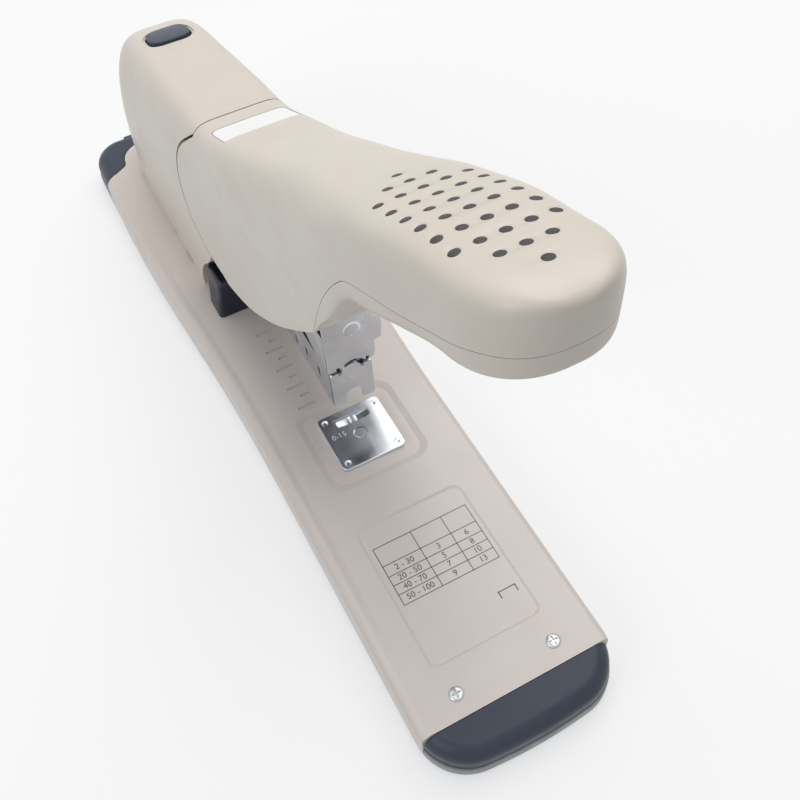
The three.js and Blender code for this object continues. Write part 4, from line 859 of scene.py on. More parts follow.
def make_rear_cover():
    edge = [(PIN_Y + back, z, corner) for back, z, corner in COVER_FRONT]
    skirt = PIN_Z - SEAM_RADIUS
    front = [(CUT_START, CUT_LOW), (edge[0][0], CUT_LOW), *edge, (COVER_LIP, skirt),
             (CUT_FRONT, skirt), (CUT_FRONT, CUT_LOW)]
    slits = [plate(-ACROSS, ACROSS, y0, y1, -1, SLIT_HEIGHT, SLIT_CORNER) for y0, y1 in SLITS]
    return carve(OUTER.copy(), lever_region(SEAM_GAP), prism(front, -ACROSS, ACROSS, "x"),
                 INNER.copy(), moved(INNER, z=-WALL),
                 plate(-ACROSS, ACROSS, CUT_FRONT, PIN_Y + RUNNING, 0, CUT_TOP), *slits,
                 button_column(RUNNING, BUTTON_WELL),
                 carve(button_column(BUTTON_RIM, 0), moved(OUTER, z=-BUTTON_DISH)))


as_piece(make_rear_cover(), "rear_cover_shell", PLASTIC, "rear_cover")

# %% [markdown]
# The release button is a small lozenge whose crown follows the cover. It is cut from the same
# form, raised a little, and its rim is rounded where a thumb meets it. Its stem reaches down to
# its spring.

# %% Release button
BUTTON_PROUD, BUTTON_THICK, BUTTON_INSIDE = 0.8, 6, 72
STEM = [(0, 51.8), (1.9, 51.8), (2.2, 52.1), (2.2, BUTTON_INSIDE), (0, BUTTON_INSIDE)]


def make_button():
    crown = carve(moved(OUTER, z=BUTTON_PROUD), moved(OUTER, z=-BUTTON_THICK))
    cap = inside(button_column(0, 0), crown)
    soften(cap, 0.5, angle=40, segments=3, only=lambda a, b: (a.z + b.z) / 2 > BUTTON_INSIDE)
    return added(cap, turned(STEM, (0, BUTTON_Y, 0), steps=24))


as_piece(make_button(), "release_button_cap", DARK, "release_button", sharp=40)

# %% [markdown]
# The label is a blank sheet of white card, sunk level with the shell.

# %% Blank label
CARD_TOP, CARD_BOTTOM = 0.1, 0.4
as_piece(label_window(0, CARD_TOP, CARD_BOTTOM), "label_card", PAPER, "blank_label")

# %% [markdown]
# The black discs of the grip are slightly domed, and lie just under the surface of the shell.
# Their black is painted shade for the dark inside of each small recess.

# %% Grip dots
DOT_DISC = [(0, -0.5), (DOT_RADIUS, -0.5), (DOT_RADIUS, -0.2), (DOT_RADIUS - 0.15, -0.12),
            (DOT_RADIUS * 0.55, -0.07), (0, -0.05)]
# the black discs are painted shade for the dark inside of the grip's small recesses
as_piece(at_each_dot(DOT_DISC), "grip_dots", DOT_PAINTED_SHADE, body="handle", slot="dark_plastic",
         sharp=50)

# %% [markdown]
# The base is pressed from sheet steel and painted. Its plan swells behind the waist and its front
# edge bows slightly. The prism of that plan gets a rolled top edge, and the same prism, smaller by
# the sheet's thickness, hollows it out.

# %% Base blank
BASE_DEPTH, BASE_EDGE, BASE_WALL = 13, 2.8, 1.4
BORDER, BORDER_SLOPE, BORDER_RISE = 4.2, 1.8, 0.35
BASE_FRONT, BASE_REAR = 118, 208
BASE_HALF, BASE_REAR_HALF = 33, 39
BASE_TAPER, CORNER_BACK, FRONT_BOW = 0.6, 2.2, 0.44
WAIST, WAIST_ROUND = (38, 128), 30
BOW_ROUND, FRONT_ROUND, REAR_ROUND = 12, 15, 13
BLANK_LOW, CORNER_STEPS, ROLL_STEPS = -30, 14, 12
LEVEL, STEEP, SKIN = 1e-4, 0.5, 0.01
CAP_FRONT, CAP_REAR = 104, 182
CAP_WALL, CAP_ROLL, CAP_INSET, FLANGE_TOP = 2, 5.5, 0.4, -9
CAP_CUSP, CUSP_WIDTH, CUSP_DEPTH, CAP_SWEEP = 27, 5, 3, 9
COVER_CORNER, COVER_REAR = (19.5, 198), 201
UNDER, OVER, PAST_SIDE, PAST_FRONT, PAST_REAR = -40, 10, 60, -200, 300


def base_blank(inset, roll=BASE_EDGE, bordered=True):
    """The plan pulled into depth, with a rolled edge, and the raised border of the painted part."""
    half, wide = BASE_HALF - inset, BASE_REAR_HALF - inset
    front, rear = -BASE_FRONT + inset, BASE_REAR - inset
    right_side = [(half - BASE_TAPER, front + CORNER_BACK, FRONT_ROUND),
                  (half, WAIST[0], WAIST_ROUND), (wide, WAIST[1], WAIST_ROUND),
                  (wide - BASE_TAPER, rear - BASE_TAPER, REAR_ROUND)]
    left_side = [(-x, y, r) for x, y, r in reversed(right_side)]
    bm = prism([(0, front - FRONT_BOW, BOW_ROUND), *right_side, *left_side], BLANK_LOW, -inset,
               steps=CORNER_STEPS)
    if bordered:
        top = [f for f in bm.faces if all(abs(v.co.z + inset) < LEVEL for v in f.verts)]
        for width in (BORDER, BORDER_SLOPE):
            bmesh.ops.inset_region(bm, faces=top, thickness=width, use_even_offset=True)
        field = {v for f in top for v in f.verts}
        border = [v for v in bm.verts if v.co.z > -inset - LEVEL and v not in field]
        bmesh.ops.translate(bm, verts=border, vec=(0, 0, BORDER_RISE))
    bm.normal_update()
    rim = [e for e in bm.edges if min(v.co.z for v in e.verts) > -inset - LEVEL
           and any(abs(f.normal.z) < STEEP for f in e.link_faces)]
    bevel(bm, rim, roll, ROLL_STEPS, clamp=False)
    bmesh.ops.bisect_plane(bm, geom=[*bm.verts, *bm.edges, *bm.faces],
                           plane_co=(0, 0, -BASE_DEPTH), plane_no=(0, 0, -1), clear_outer=True)
    bmesh.ops.contextual_create(bm, geom=[e for e in bm.edges if e.is_boundary])
    bmesh.ops.recalc_face_normals(bm, faces=bm.faces)
    return bm


def slab(low=UNDER, high=OVER, rear=PAST_REAR):
    """A block that reaches past the base at both sides and in front."""
    return plate(-PAST_SIDE, PAST_SIDE, PAST_FRONT, rear, low, high)


def opened(body):
    """A hollow blank without the thin skin that is left under it."""
    return carve(body, slab(-BASE_DEPTH - 2, -BASE_DEPTH + SKIN))


def rear_end(gap):
    """Where the rear cap is: it reaches forward at both sides and hugs the cover's rear corners."""
    side, cusp = BASE_REAR_HALF + BEYOND, CAP_CUSP + gap
    right_side = [(side, CAP_REAR - CAP_SWEEP + gap), (cusp + CUSP_WIDTH, CAP_REAR + gap, 2),
                  (cusp, CAP_REAR + CUSP_DEPTH + gap, 2), (cusp, CAP_REAR + CAP_SWEEP + gap, 4),
                  (COVER_CORNER[0], COVER_CORNER[1] + gap, 6)]
    left_side = [(-p[0], *p[1:]) for p in reversed(right_side)]
    ends = [(-side, BASE_REAR + BEYOND), (side, BASE_REAR + BEYOND)]
    return prism([*right_side, (0, COVER_REAR + gap), *left_side, *ends], UNDER, OVER)


print("base blank", len(base_blank(0).faces), "faces")

# %% [markdown]
# The end caps are fuller than the paint: a cushion with a big rolled edge stands on a paler
# flange. The flange is the caps' slate plastic; its paler colour is a painted reflection of the
# white floor. Both are made from the base's plan, so one hollow cushion and one hollow flange serve
# the two ends.

# %% Cap blanks


def cap_cushion():
    return carve(moved(base_blank(CAP_INSET, CAP_ROLL, False), z=CAP_INSET),
                 base_blank(CAP_INSET + CAP_WALL, CAP_ROLL, False), slab(UNDER, FLANGE_TOP))


def cap_flange():
    body = carve(base_blank(0, BASE_EDGE, False), slab(FLANGE_TOP))
    soften(body, 0.4, angle=50, only=lambda a, b: min(a.z, b.z) > FLANGE_TOP - NEAR)
    return opened(carve(body, base_blank(CAP_INSET + CAP_WALL, BASE_EDGE, False)))


# %% [markdown]
# The painted part of the base carries the stamped features: the sunk panel for the chart, the
# square seat round the anvil, nine depth marks beside the magazine, and the long slot for the
# paper guide. Each sunk panel is a plate with a smaller floor than mouth, because a press leaves
# sloping walls.

# %% Painted base
CHART_HALF, CHART_NEAR, CHART_FAR, CHART_DEPTH = 19.6, 34.2, 87.4, 0.5
CHART_SLOPE, CHART_CORNER = 0.7, 3.2
RECESS_HALF, RECESS_DEPTH, RECESS_SLOPE, RECESS_CORNER = 18.9, 0.79, 2.2, 6
ANVIL_HALF, ANVIL_PROUD, ANVIL_THICK, ANVIL_CORNER = 12, 0.8, 1.6, 1.9
MARK_FIRST, MARK_PITCH, MARK_COUNT = 20.7, 5, 9
MARK_START, MARK_LENGTHS, MARK_HALF = 7.6, (7.4, 4.4), 0.65
MARK_DEPTH, MARK_SLOPE, MARK_CORNER = 0.7, 0.2, 0.5
SLOT_HALF, SLOT_FRONT, SLOT_REAR, SLOT_CORNER = 2.6, 18, 88, 2
ANVIL_HOLE, HOLE_SIDES = 1.7, 32
SCREW_PLACES = [(-16.8, -97), (16.8, -97)]
BOLT_PLACES = [(x, y) for y in (113, 175) for x in (-5.5, 5.5)]


def sunk_panel(x0, x1, y0, y1, depth, slope, rounding):
    """A cutter for a pressed panel: its floor is smaller than its mouth by the slope."""
    lip = 1
    bm = plate(x0, x1, y0, y1, -depth, lip, rounding, steps=8)
    middle = Vector(((x0 + x1) / 2, (y0 + y1) / 2, 0))
    for low, reach in ((True, -slope), (False, slope * lip / depth)):
        ring = [v for v in bm.verts if (v.co.z < 0) == low]
        grow = (1 + 2 * reach / (x1 - x0), 1 + 2 * reach / (y1 - y0), 1)
        bmesh.ops.scale(bm, vec=grow, verts=ring, space=Matrix.Translation(-middle))
    return bm


def hole(x, y, radius, low=UNDER):
    return rod(radius, low, OVER, x, y, steps=HOLE_SIDES)


def make_painted_base():
    seat = ANVIL_HALF + SEAT
    cuts = [slab(rear=-CAP_FRONT), rear_end(-SEAT),
            sunk_panel(-CHART_HALF, CHART_HALF, -CHART_FAR, -CHART_NEAR, CHART_DEPTH, CHART_SLOPE,
                       CHART_CORNER),
            sunk_panel(-RECESS_HALF, RECESS_HALF, -RECESS_HALF, RECESS_HALF, RECESS_DEPTH,
                       RECESS_SLOPE, RECESS_CORNER),
            plate(-seat, seat, -seat, seat, ANVIL_PROUD - ANVIL_THICK, OVER, ANVIL_CORNER)]
    for i in range(MARK_COUNT):
        y = MARK_FIRST + i * MARK_PITCH
        cuts.append(sunk_panel(-MARK_START - MARK_LENGTHS[i % 2], -MARK_START, y - MARK_HALF,
                               y + MARK_HALF, MARK_DEPTH, MARK_SLOPE, MARK_CORNER))
    cuts += [plate(-SLOT_HALF, SLOT_HALF, SLOT_FRONT, SLOT_REAR, UNDER, OVER, SLOT_CORNER),
             hole(0, 0, ANVIL_HOLE)]
    cuts += [hole(x, y, SCREW_HOLE) for x, y in SCREW_PLACES + BOLT_PLACES]
    return carve(opened(carve(base_blank(0), base_blank(BASE_WALL))), *cuts)


as_piece(make_painted_base(), "painted_base", PAINT, "base_shell", sharp=12, even=True)

# %% [markdown]
# The end caps are dark mouldings that push into the ends of the base. They share its blank, so
# they run on flush from the paint, and a tongue under the steel takes the screws.

# %% End caps
TONGUE_LOW, TONGUE_TOP, TONGUE_CORNER = -4.1, -1.7, 1
FRONT_TONGUE, REAR_TONGUES, TONGUE_FRONT = 22.6, [(-22, -12), (12, 22)], 185


def tongue(x0, x1, front, rear):
    return plate(x0, x1, front, rear, TONGUE_LOW, TONGUE_TOP, TONGUE_CORNER)


def front_end():
    return slab(rear=-CAP_FRONT - SEAT)


def make_front_cap():
    cap = added(inside(cap_cushion(), front_end()),
                tongue(-FRONT_TONGUE, FRONT_TONGUE, -CAP_FRONT - 4, -CAP_FRONT + 13))
    return carve(cap, *[hole(x, y, SCREW_HOLE) for x, y in SCREW_PLACES])


def make_rear_cap():
    return added(inside(cap_cushion(), rear_end(0)),
                 *[tongue(x0, x1, TONGUE_FRONT, BASE_REAR - 1) for x0, x1 in REAR_TONGUES])


as_piece(make_front_cap(), "front_end_cap", DARK, "front_cap", sharp=24, even=True)
as_piece(make_rear_cap(), "rear_end_cap", DARK, "rear_cap", sharp=24, even=True)
# the flanges' paler finish is a painted reflection of the white floor
for word, end in (("front", front_end()), ("rear", rear_end(0))):
    as_piece(inside(cap_flange(), end), f"{word}_end_flange", SLATE_WITH_PAINTED_REFLECTION, body="base",
             slot="dark_plastic", sharp=24, even=True)

# %% [markdown]
# The anvil is a bright square plate held by one screw. Its twin pockets turn the staple's legs,
# and a dimple in each corner locates it.

# %% Anvil
ABOVE, ANVIL_SINK = 4, 2.5
WINDOW = (-7, 7, 4.8, 9)
# one bath: distance from the middle, depth under the top, rounding
BATH = [(0.4, 0.3), (1.2, 1.05, 0.6), (4.2, 0.85, 3), (6.7, 0.1)]
BATH_FRONT, BATH_REAR = 5.3, 8.5
DIMPLE_PLACE, DIMPLE = 9.5, [(0, 0.25), (0.7, 0.34), (1.2, 0.82), (1.2, 5), (0, 5)]


def make_anvil():
    bm = plate(-ANVIL_HALF, ANVIL_HALF, -ANVIL_HALF, ANVIL_HALF, ANVIL_PROUD - ANVIL_THICK,
               ANVIL_PROUD, ANVIL_CORNER, steps=8)
    soften(bm, 0.3, angle=60, segments=3, only=lambda a, b: a.z > 0 and b.z > 0)
    bm = carve(bm, plate(*WINDOW, ANVIL_PROUD - 0.2, ABOVE, 1.1))
    for side in (-1, 1):
        floor = [(side * x, ANVIL_PROUD - depth, *corner) for x, depth, *corner in BATH]
        mouth = [(floor[-1][0], ABOVE), (floor[0][0], ABOVE)]
        pocket = prism(floor + mouth, BATH_FRONT, BATH_REAR, "y")
        soften(pocket, 0.7, angle=60, segments=3,
               only=lambda a, b: min(a.z, b.z) < ANVIL_PROUD and abs(a.y - b.y) < NEAR)
        bm = carve(bm, pocket)
    dimples = [turned(DIMPLE, (x, y, 0), steps=24) for x in (-DIMPLE_PLACE, DIMPLE_PLACE)
               for y in (-DIMPLE_PLACE, DIMPLE_PLACE)]
    return carve(bm, *dimples, hole(0, 0, ANVIL_SINK, 0), hole(0, 0, ANVIL_HOLE))


as_piece(make_anvil(), "anvil", CHROME, "anvil_plate", sharp=30, even=True)

# %% [markdown]
# Screws, pins and rings are lathe work: half an outline spun once. A driver's cross is cut into
# each head afterwards.

# %% Screws, pins and rings
SIDES = ("left", "right")
SHANK, SHANK_POINT, HEAD_SIDES = 1.6, 0.6, 40
CROSS_DEPTH, PIN_CHAMFER = 0.75, 0.5
# share of the head's radius and of its height, from rim to crown
DOME = [(1, 0.35), (0.93, 0.62), (0.72, 0.86), (0.4, 0.97)]
# radius and height of the head, length, reach and width of the cross
CAP_SCREW, GRIP_SCREW = (2.3, 0.8, 7, 1.5, 0.36), (2.9, 1.1, 17, 1.75, 0.34)
ANVIL_SCREW = [(0, -7), (1.4, -7), (1.4, 0.1), (2.2, 0.1), (2.2, 0.55), (2.05, 0.7), (0, 0.7)]
ANVIL_SCREW_SLOT = (-2.4, 2.4, -0.25, 0.25, 0.4, 2)


def screw(head, height, length, cross_reach, cross_width):
    """A domed screw standing on z = 0, with a cross recess."""
    bm = turned([(0, -length), (SHANK * 0.7, -length), (SHANK, -length + SHANK_POINT), (SHANK, 0),
                 (head, 0), *[(head * out, height * up) for out, up in DOME], (0, height)],
                steps=HEAD_SIDES)
    bars = [plate(-a, a, -b, b, height - CROSS_DEPTH, height + 2, 0.1, steps=2)
            for a, b in ((cross_reach, cross_width), (cross_width, cross_reach))]
    return carve(bm, *bars)


for word, (x, y) in zip(SIDES, SCREW_PLACES):
    as_piece(moved(screw(*CAP_SCREW), x, y), f"cap_screw_head_{word}", ZINC, f"cap_screw_{word}")

anvil_screw = carve(turned(ANVIL_SCREW, steps=HEAD_SIDES), plate(*ANVIL_SCREW_SLOT))
as_piece(anvil_screw, "anvil_screw_head", ZINC, "anvil_screw")

for i, y in enumerate(GRIP_SCREWS, 1):
    bm = screw(*GRIP_SCREW)
    bmesh.ops.rotate(bm, cent=(0, 0, 0), matrix=Matrix.Rotation(math.pi, 3, "X"), verts=bm.verts)
    as_piece(moved(bm, 0, y, grip_underside(y) + 3), f"grip_screw_head_{i}", ZINC,
             f"grip_screw_{i}")

for node in ("handle_pin", "arm_pin", "roller_pin"):
    low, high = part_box(node)
    centre = (Vector(low) + Vector(high)) / 2 / MILLIMETRE - ANVIL_PLACE
    half, radius = ((high[i] - low[i]) / 2 / MILLIMETRE for i in (0, 2))
    outline = [(0, -half), (radius - PIN_CHAMFER, -half), (radius, -half + PIN_CHAMFER),
               (radius, half - PIN_CHAMFER), (radius - PIN_CHAMFER, half), (0, half)]
    as_piece(turned(outline, (0, centre.y, centre.z), "x"), f"{node}_steel", ZINC, node)

# %% [markdown]
# Four rubber feet keep the base from sliding. Each is a disc with a rounded lower edge.

# %% Feet
FOOT_ROLL, FOOT_CUT, FOOT_DISH = 0.5, 0.15, 0.3


def drawn_box(node):
    """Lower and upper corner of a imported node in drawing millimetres."""
    return [Vector(corner) / MILLIMETRE - ANVIL_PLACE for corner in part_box(node)]


for corner in ("front_left", "front_right", "rear_left", "rear_right"):
    low, high = drawn_box(f"foot_{corner}")
    middle, radius = (low + high) / 2, (high.x - low.x) / 2
    outline = [(0, high.z), (radius, high.z), (radius, low.z + FOOT_ROLL),
               (radius - FOOT_CUT, low.z + FOOT_CUT), (radius - FOOT_ROLL, low.z),
               (radius * 0.6, low.z), (radius * 0.5, low.z + FOOT_DISH), (0, low.z + FOOT_DISH)]
    as_piece(turned(outline, (middle.x, middle.y, 0)), f"rubber_foot_{corner}", RUBBER,
             f"foot_{corner}")

# %% [markdown]
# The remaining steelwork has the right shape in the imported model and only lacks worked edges. A
# merged copy of each has its flat faces joined, its corners broken by a fine bevel, and its
# shading evened, so that every edge catches a line of light.

# %% Worked edges for the steel and the small mouldings
EDGE_WORK = {
    "staple_tray": (CHROME, 0.06), "driver_arm": (CHROME, 0.14), "magazine_sleeve": (CHROME, 0.1),
    "driver_blade": (ZINC, 0.1), "blade_holder": (ZINC, 0.12), "tray_core": (ZINC, 0.1),
    "feed_rod": (ZINC, 0.08), "pusher": (DARK, 0.2), "guide_shoe": (DARK, 0.25),
    "body_frame": (BLACK_STEEL, 0.2), "handle_lever": (BLACK_STEEL, 0.2),
    "lever_roller": (ZINC, 0.4), "base_floor": (BLACK_STEEL, 0.2), "anvil_nut": (ZINC, 0.2),
    **{f"frame_bolt_{i}": (ZINC, 0.2) for i in (1, 2, 3, 4)},
    **{f"arm_spacer_{side}": (ZINC, 0.1) for side in SIDES},
    **{f"{pin}_ring_{side}": (BLACK_STEEL, 0.1) for pin in ("handle_pin", "arm_pin")
       for side in SIDES},
}


def worked_copy(node, width):
    """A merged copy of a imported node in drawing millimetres, with its sharp edges bevelled."""
    bm = bmesh.new()
    bm.from_mesh(frame["nodes"][node].data)
    bmesh.ops.transform(bm, matrix=TO_FRAME.inverted(), verts=bm.verts)
    bmesh.ops.remove_doubles(bm, verts=bm.verts, dist=COARSE_WELD)
    bmesh.ops.dissolve_limit(bm, angle_limit=math.radians(1), use_dissolve_boundaries=False,
                             verts=bm.verts, edges=bm.edges)
    return soften(bm, width, angle=40)


for node, (material, width) in EDGE_WORK.items():
    as_piece(worked_copy(node, width), f"{node}_worked", material, node, even=True)

# %% [markdown]
# The driver's head is the front plate that is seen under the grip. One outline is drawn with the
# step on its right side, and is made as thick as the sheet. Then its lower edge is scalloped to
# clear the nose of the tray, and a shallow round boss is pressed out of it.

# %% Driver head
HEAD_FRONT, HEAD_WALL, HEAD_FAR = -2.4, 0.9, 9
HEAD_HALF, HEAD_BOTTOM, HEAD_TOP = 8.5, 41.5, 66
HEAD_OUTLINE = [(-HEAD_HALF, HEAD_BOTTOM), (7.6, HEAD_BOTTOM), (8, 48.6), (10.5, 49.3),
                (11.2, 55.5), (10.9, 58.5), (HEAD_HALF, 60.5), (HEAD_HALF, HEAD_TOP),
                (-HEAD_HALF, HEAD_TOP)]
SCALLOP_Z, SCALLOP_RADIUS = 39.3, 4.6
NOTCHES, NOTCH_WIDTH, NOTCH_TOP = (-5.8, 4.6), 1.2, 42.7
HEAD_BOSS = (1.2, 58)
BOSS_PROFILE = [(0, -0.25), (2.2, -0.25), (2.7, -0.18), (2.95, 0), (2.95, 0.4), (0, 0.4)]


def make_driver_head():
    head = prism(HEAD_OUTLINE, HEAD_FRONT, HEAD_FRONT + HEAD_WALL, "y")
    notches = [plate(x, x + NOTCH_WIDTH, -HEAD_FAR, HEAD_FAR, 30, NOTCH_TOP) for x in NOTCHES]
    head = carve(head, rod(SCALLOP_RADIUS, -HEAD_FAR, HEAD_FAR, axis="y", z=SCALLOP_Z), *notches)
    soften(head, 0.18, angle=50)
    return added(head, turned(BOSS_PROFILE, (HEAD_BOSS[0], HEAD_FRONT, HEAD_BOSS[1]), "y"))


as_piece(make_driver_head(), "driver_head_plate", CHROME, "driver_head", sharp=30, even=True)

# %% [markdown]
# The paper guide stops the sheets at a chosen depth. Its two wings lean in towards their tops,
# which is how they leave their mould, and every corner that a hand can reach is well rounded.

# %% Paper guide
GUIDE_FRONT, GUIDE_REAR = 75.6, 88.2
GUIDE_INNER, GUIDE_FOOT, GUIDE_TOP, GUIDE_HEIGHT = 11, 23.5, 20.9, 17.8


def make_guide():
    wing = plate(GUIDE_FRONT, GUIDE_REAR, SEAT, GUIDE_HEIGHT, GUIDE_INNER, GUIDE_FOOT, axis="x")
    lean = prism([(GUIDE_INNER, 0), (GUIDE_FOOT, 0), (GUIDE_TOP, GUIDE_HEIGHT),
                  (GUIDE_INNER, GUIDE_HEIGHT)], GUIDE_FRONT, GUIDE_REAR, "y")
    wing = inside(wing, lean)
    soften(wing, 1.7, angle=50, segments=5, only=lambda a, b: max(a.z, b.z) > 1)
    bridge = plate(-GUIDE_INNER - 1, GUIDE_INNER + 1, GUIDE_FRONT + 3, GUIDE_REAR - 0.5, SEAT, 1)
    return added(wing, bridge, mirrored(wing))


as_piece(make_guide(), "paper_guide_wings", NAVY, "paper_guide")

# %% [markdown]
# Coil springs are round wire wound on a helix. A small circle of points is spun while it climbs,
# which winds the wire in one operation.

# %% Coil springs
WIRE_SIDES, TURN_STEPS = 10, 28


def wound_spring(radius, wire, length, turns):
    """A coil that stands on z = 0."""
    bm = bmesh.new()
    ring = bmesh.ops.create_circle(bm, cap_ends=True, radius=wire, segments=WIRE_SIDES,
                                   matrix=Matrix.Translation((radius, 0, wire))
                                   @ Matrix.Rotation(math.pi / 2, 4, "X"))["verts"]
    faces = list({face for vert in ring for face in vert.link_faces})
    steps = int(TURN_STEPS * turns)
    climb = (length - 2 * wire) / steps
    bmesh.ops.spin(bm, geom=faces, cent=(0, 0, 0), axis=(0, 0, 1), dvec=(0, 0, climb),
                   angle=2 * math.pi * turns, steps=steps, use_merge=False, use_duplicate=False)
    bmesh.ops.remove_doubles(bm, verts=bm.verts, dist=WELD)
    bmesh.ops.recalc_face_normals(bm, faces=bm.faces)
    return bm


# wire, turns, the joint that presses it, its axis, and which corner of its box stays
SPRINGS = {
    "lift_spring": (0.6, 5, "magazine_hinge", "z", 0),
    "return_spring": (0.6, 5, "driver_hinge", "z", 0),
    "button_spring": (0.3, 5, "button_press", "z", 0),
    "feed_spring": (0.35, 26, "pusher_slide", "y", 1),
}
for node, (wire, turns, joint, axis, end) in SPRINGS.items():
    low, high = drawn_box(node)
    size = high - low
    along = "xyz".index(axis)
    bm = wound_spring(size.x / 2 - wire, wire, size[along], turns)
    if axis == "y":
        bmesh.ops.rotate(bm, cent=(0, 0, 0), matrix=Matrix.Rotation(-math.pi / 2, 3, "X"),
                         verts=bm.verts)
    middle = (low + high) / 2
    middle[along] = low[along]
    bmesh.ops.translate(bm, verts=bm.verts, vec=middle)
    spring = as_piece(bm, f"{node}_coil", SPRING_STEEL, node, sharp=60)
    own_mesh(spring)

# %% [markdown]
# The sunk panel in front of the anvil carries a small printed table. It is kept plain: ruled lines
# and figures only. The lines are thin strips of ink, and the figures are text turned into mesh.

# %% Printed table
TABLE_X = (-16.9, -3.2, 8.1, 17.5)
TABLE_Y = (-42.8, -49.8, -53.9, -57.4, -60.9, -64.8)
TABLE_ROWS = [("2 - 30", "3", "6"), ("20 - 50", "5", "8"), ("40 - 70", "7", "10"),
              ("50 - 100", "9", "13")]
INK_LEVEL, INK_THICK, INK_SUNK = -CHART_DEPTH, 0.03, 0.01
RULE, STAPLE_RULE, FIGURE_SIZE = 0.26, 0.35, 2.9
STAPLE_X, STAPLE_TOP, STAPLE_FOOT = (10.8, 16.7), -75.2, -77.4


def strip(x0, y0, x1, y1, width=RULE):
    """A ruled line as a thin strip."""
    grow = width / 2
    return plate(min(x0, x1) - grow, max(x0, x1) + grow, min(y0, y1) - grow, max(y0, y1) + grow,
                 INK_LEVEL - INK_SUNK, INK_LEVEL + INK_THICK)


lines = [strip(x, TABLE_Y[0], x, TABLE_Y[-1]) for x in TABLE_X]
lines += [strip(TABLE_X[0], y, TABLE_X[-1], y) for y in TABLE_Y]
lines += [strip(STAPLE_X[0], STAPLE_TOP, STAPLE_X[1], STAPLE_TOP, STAPLE_RULE)]
lines += [strip(x, STAPLE_FOOT, x, STAPLE_TOP, STAPLE_RULE) for x in STAPLE_X]
as_piece(joined(*lines), "table_lines", INK, body="base", slot="dark_plastic")


def figure(text, x, y, size=FIGURE_SIZE, level=INK_LEVEL):
    """A number as a mesh in drawing millimetres, centred on a point."""
    curve = bpy.data.curves.new("figure", "FONT")
    curve.body = text
    curve.align_x, curve.align_y = "CENTER", "CENTER"
    curve.size = size
    curve.extrude = INK_THICK / 2
    item = in_scene("figure", curve)
    graph = bpy.context.evaluated_depsgraph_get()
    mesh = bpy.data.meshes.new_from_object(item.evaluated_get(graph))
    bm = bmesh.new()
    bm.from_mesh(mesh)
    bpy.data.objects.remove(item)
    bpy.data.curves.remove(curve)
    bpy.data.meshes.remove(mesh)
    bmesh.ops.remove_doubles(bm, verts=bm.verts, dist=FINE_WELD)
    bmesh.ops.translate(bm, verts=bm.verts, vec=(x, y, level + INK_THICK / 2))
    return bm


figures = []
for row, texts in enumerate(TABLE_ROWS):
    y = (TABLE_Y[row + 1] + TABLE_Y[row + 2]) / 2
    for column, text in enumerate(texts):
        figures.append(figure(text, (TABLE_X[column] + TABLE_X[column + 1]) / 2, y))
as_piece(joined(*figures), "table_figures", INK, body="base", slot="dark_plastic")
ANVIL_TEXT, ANVIL_TEXT_PLACE, ANVIL_TEXT_SIZE = "0-15", (-7.3, 2.2), 3
as_piece(figure(ANVIL_TEXT, *ANVIL_TEXT_PLACE, ANVIL_TEXT_SIZE, ANVIL_PROUD), "anvil_figures",
         ETCHED, body="base", slot="zinc")

# %% [markdown]
# The stapler stands on a white sheet under soft light. A large softbox hangs overhead, a weaker
# one fills from the front left, and the white world fills the rest, so colours render about as
# written.

# %% Floor and light
FLOOR_SIZE, FLOOR_GLOW = 6, 0.55
FLOOR_LIT, FLOOR_SEEN = (0.58, 0.58, 0.58), (0.95, 0.955, 0.97)
WHITE, SKY, SKY_STRENGTH = (1, 1, 1, 1), (0.92, 0.96, 1, 1), 0.36
LIGHT_TARGET = (0, 0, 0.05)
# name, place, size, power, colour
SOFTBOXES = [("overhead softbox", (0.3, 0.25, 1.15), 1.3, 10.6, (1, 0.975, 0.94)),
             ("left fill", (-1.1, -0.3, 0.7), 0.8, 4.2, (0.93, 0.96, 1))]


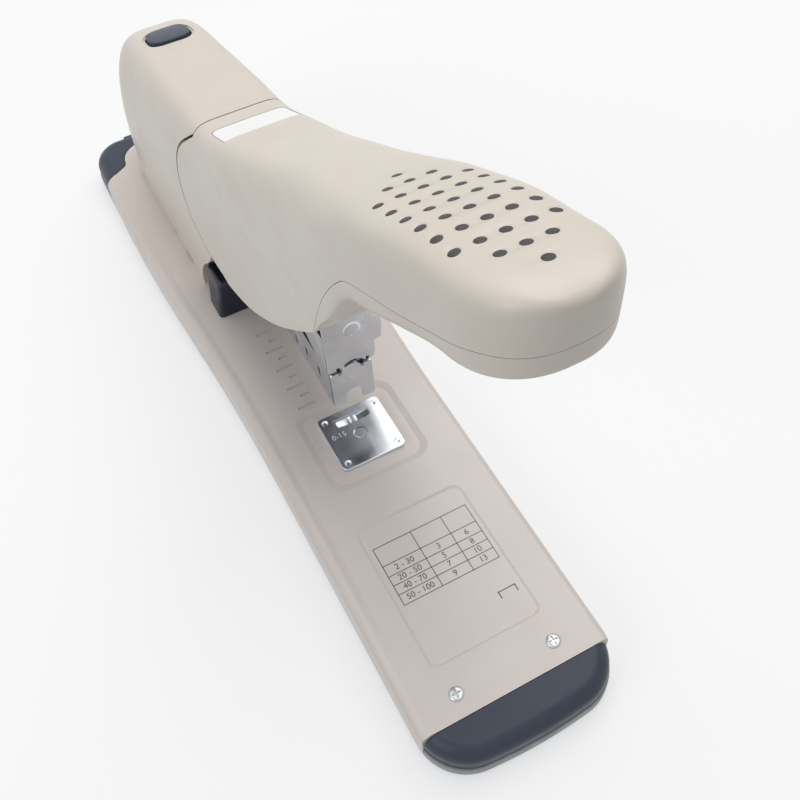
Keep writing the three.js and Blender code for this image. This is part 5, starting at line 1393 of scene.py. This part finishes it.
def seen_directly(tree):
    """One for camera, glossy and transmission rays, zero for the rest."""
    rays = tree.nodes.new("ShaderNodeLightPath").outputs
    seen = maths(tree, "MAXIMUM", rays["Is Camera Ray"], rays["Is Glossy Ray"])
    return maths(tree, "MAXIMUM", seen, rays["Is Transmission Ray"])


def show_mixed(tree, kind, factor, first, second):
    """Two shaders mixed into the output node of a material or a world."""
    out = tree.nodes.new(kind)
    mix = add_node(tree, "ShaderNodeMixShader", {0: factor, 1: first.outputs[0],
                                                 2: second.outputs[0]})
    tree.links.new(mix.outputs["Shader"], out.inputs["Surface"])


def make_floor():
    bm = bmesh.new()
    bmesh.ops.create_grid(bm, x_segments=1, y_segments=1, size=FLOOR_SIZE / 2)
    mesh = bpy.data.meshes.new("floor")
    bm.to_mesh(mesh)
    bm.free()
    material = bpy.data.materials.new("white floor")
    tree = cleared(material)
    seen = seen_directly(tree)
    paper = add_node(tree, "ShaderNodeBsdfDiffuse",
                     {"Color": blend_colours(tree, seen, FLOOR_LIT, FLOOR_SEEN)})
    white = add_node(tree, "ShaderNodeEmission", {"Color": WHITE, "Strength": 1.0})
    show_mixed(tree, "ShaderNodeOutputMaterial", maths(tree, "MULTIPLY", seen, FLOOR_GLOW),
               paper, white)
    mesh.materials.append(material)
    floor = in_scene("floor", mesh)


def make_world():
    world = bpy.data.worlds.new("white room")
    bpy.context.scene.world = world
    tree = cleared(world)
    room = add_node(tree, "ShaderNodeBackground", {"Color": SKY, "Strength": SKY_STRENGTH})
    white = add_node(tree, "ShaderNodeBackground", {"Color": WHITE, "Strength": 1.0})
    show_mixed(tree, "ShaderNodeOutputWorld", seen_directly(tree), room, white)


def add_softbox(name, place, size, power, colour):
    data = bpy.data.lights.new(name, "AREA")
    data.shape = "SQUARE"
    data.size = size
    data.energy = power
    data.color = colour
    lamp = in_scene(name, data)
    lamp.location = place
    aim = Vector(LIGHT_TARGET) - Vector(place)
    lamp.rotation_euler = aim.to_track_quat("-Z", "Y").to_euler()


make_floor()
make_world()
for softbox in SOFTBOXES:
    add_softbox(*softbox)
bpy.context.scene.view_settings.view_transform = "Standard"
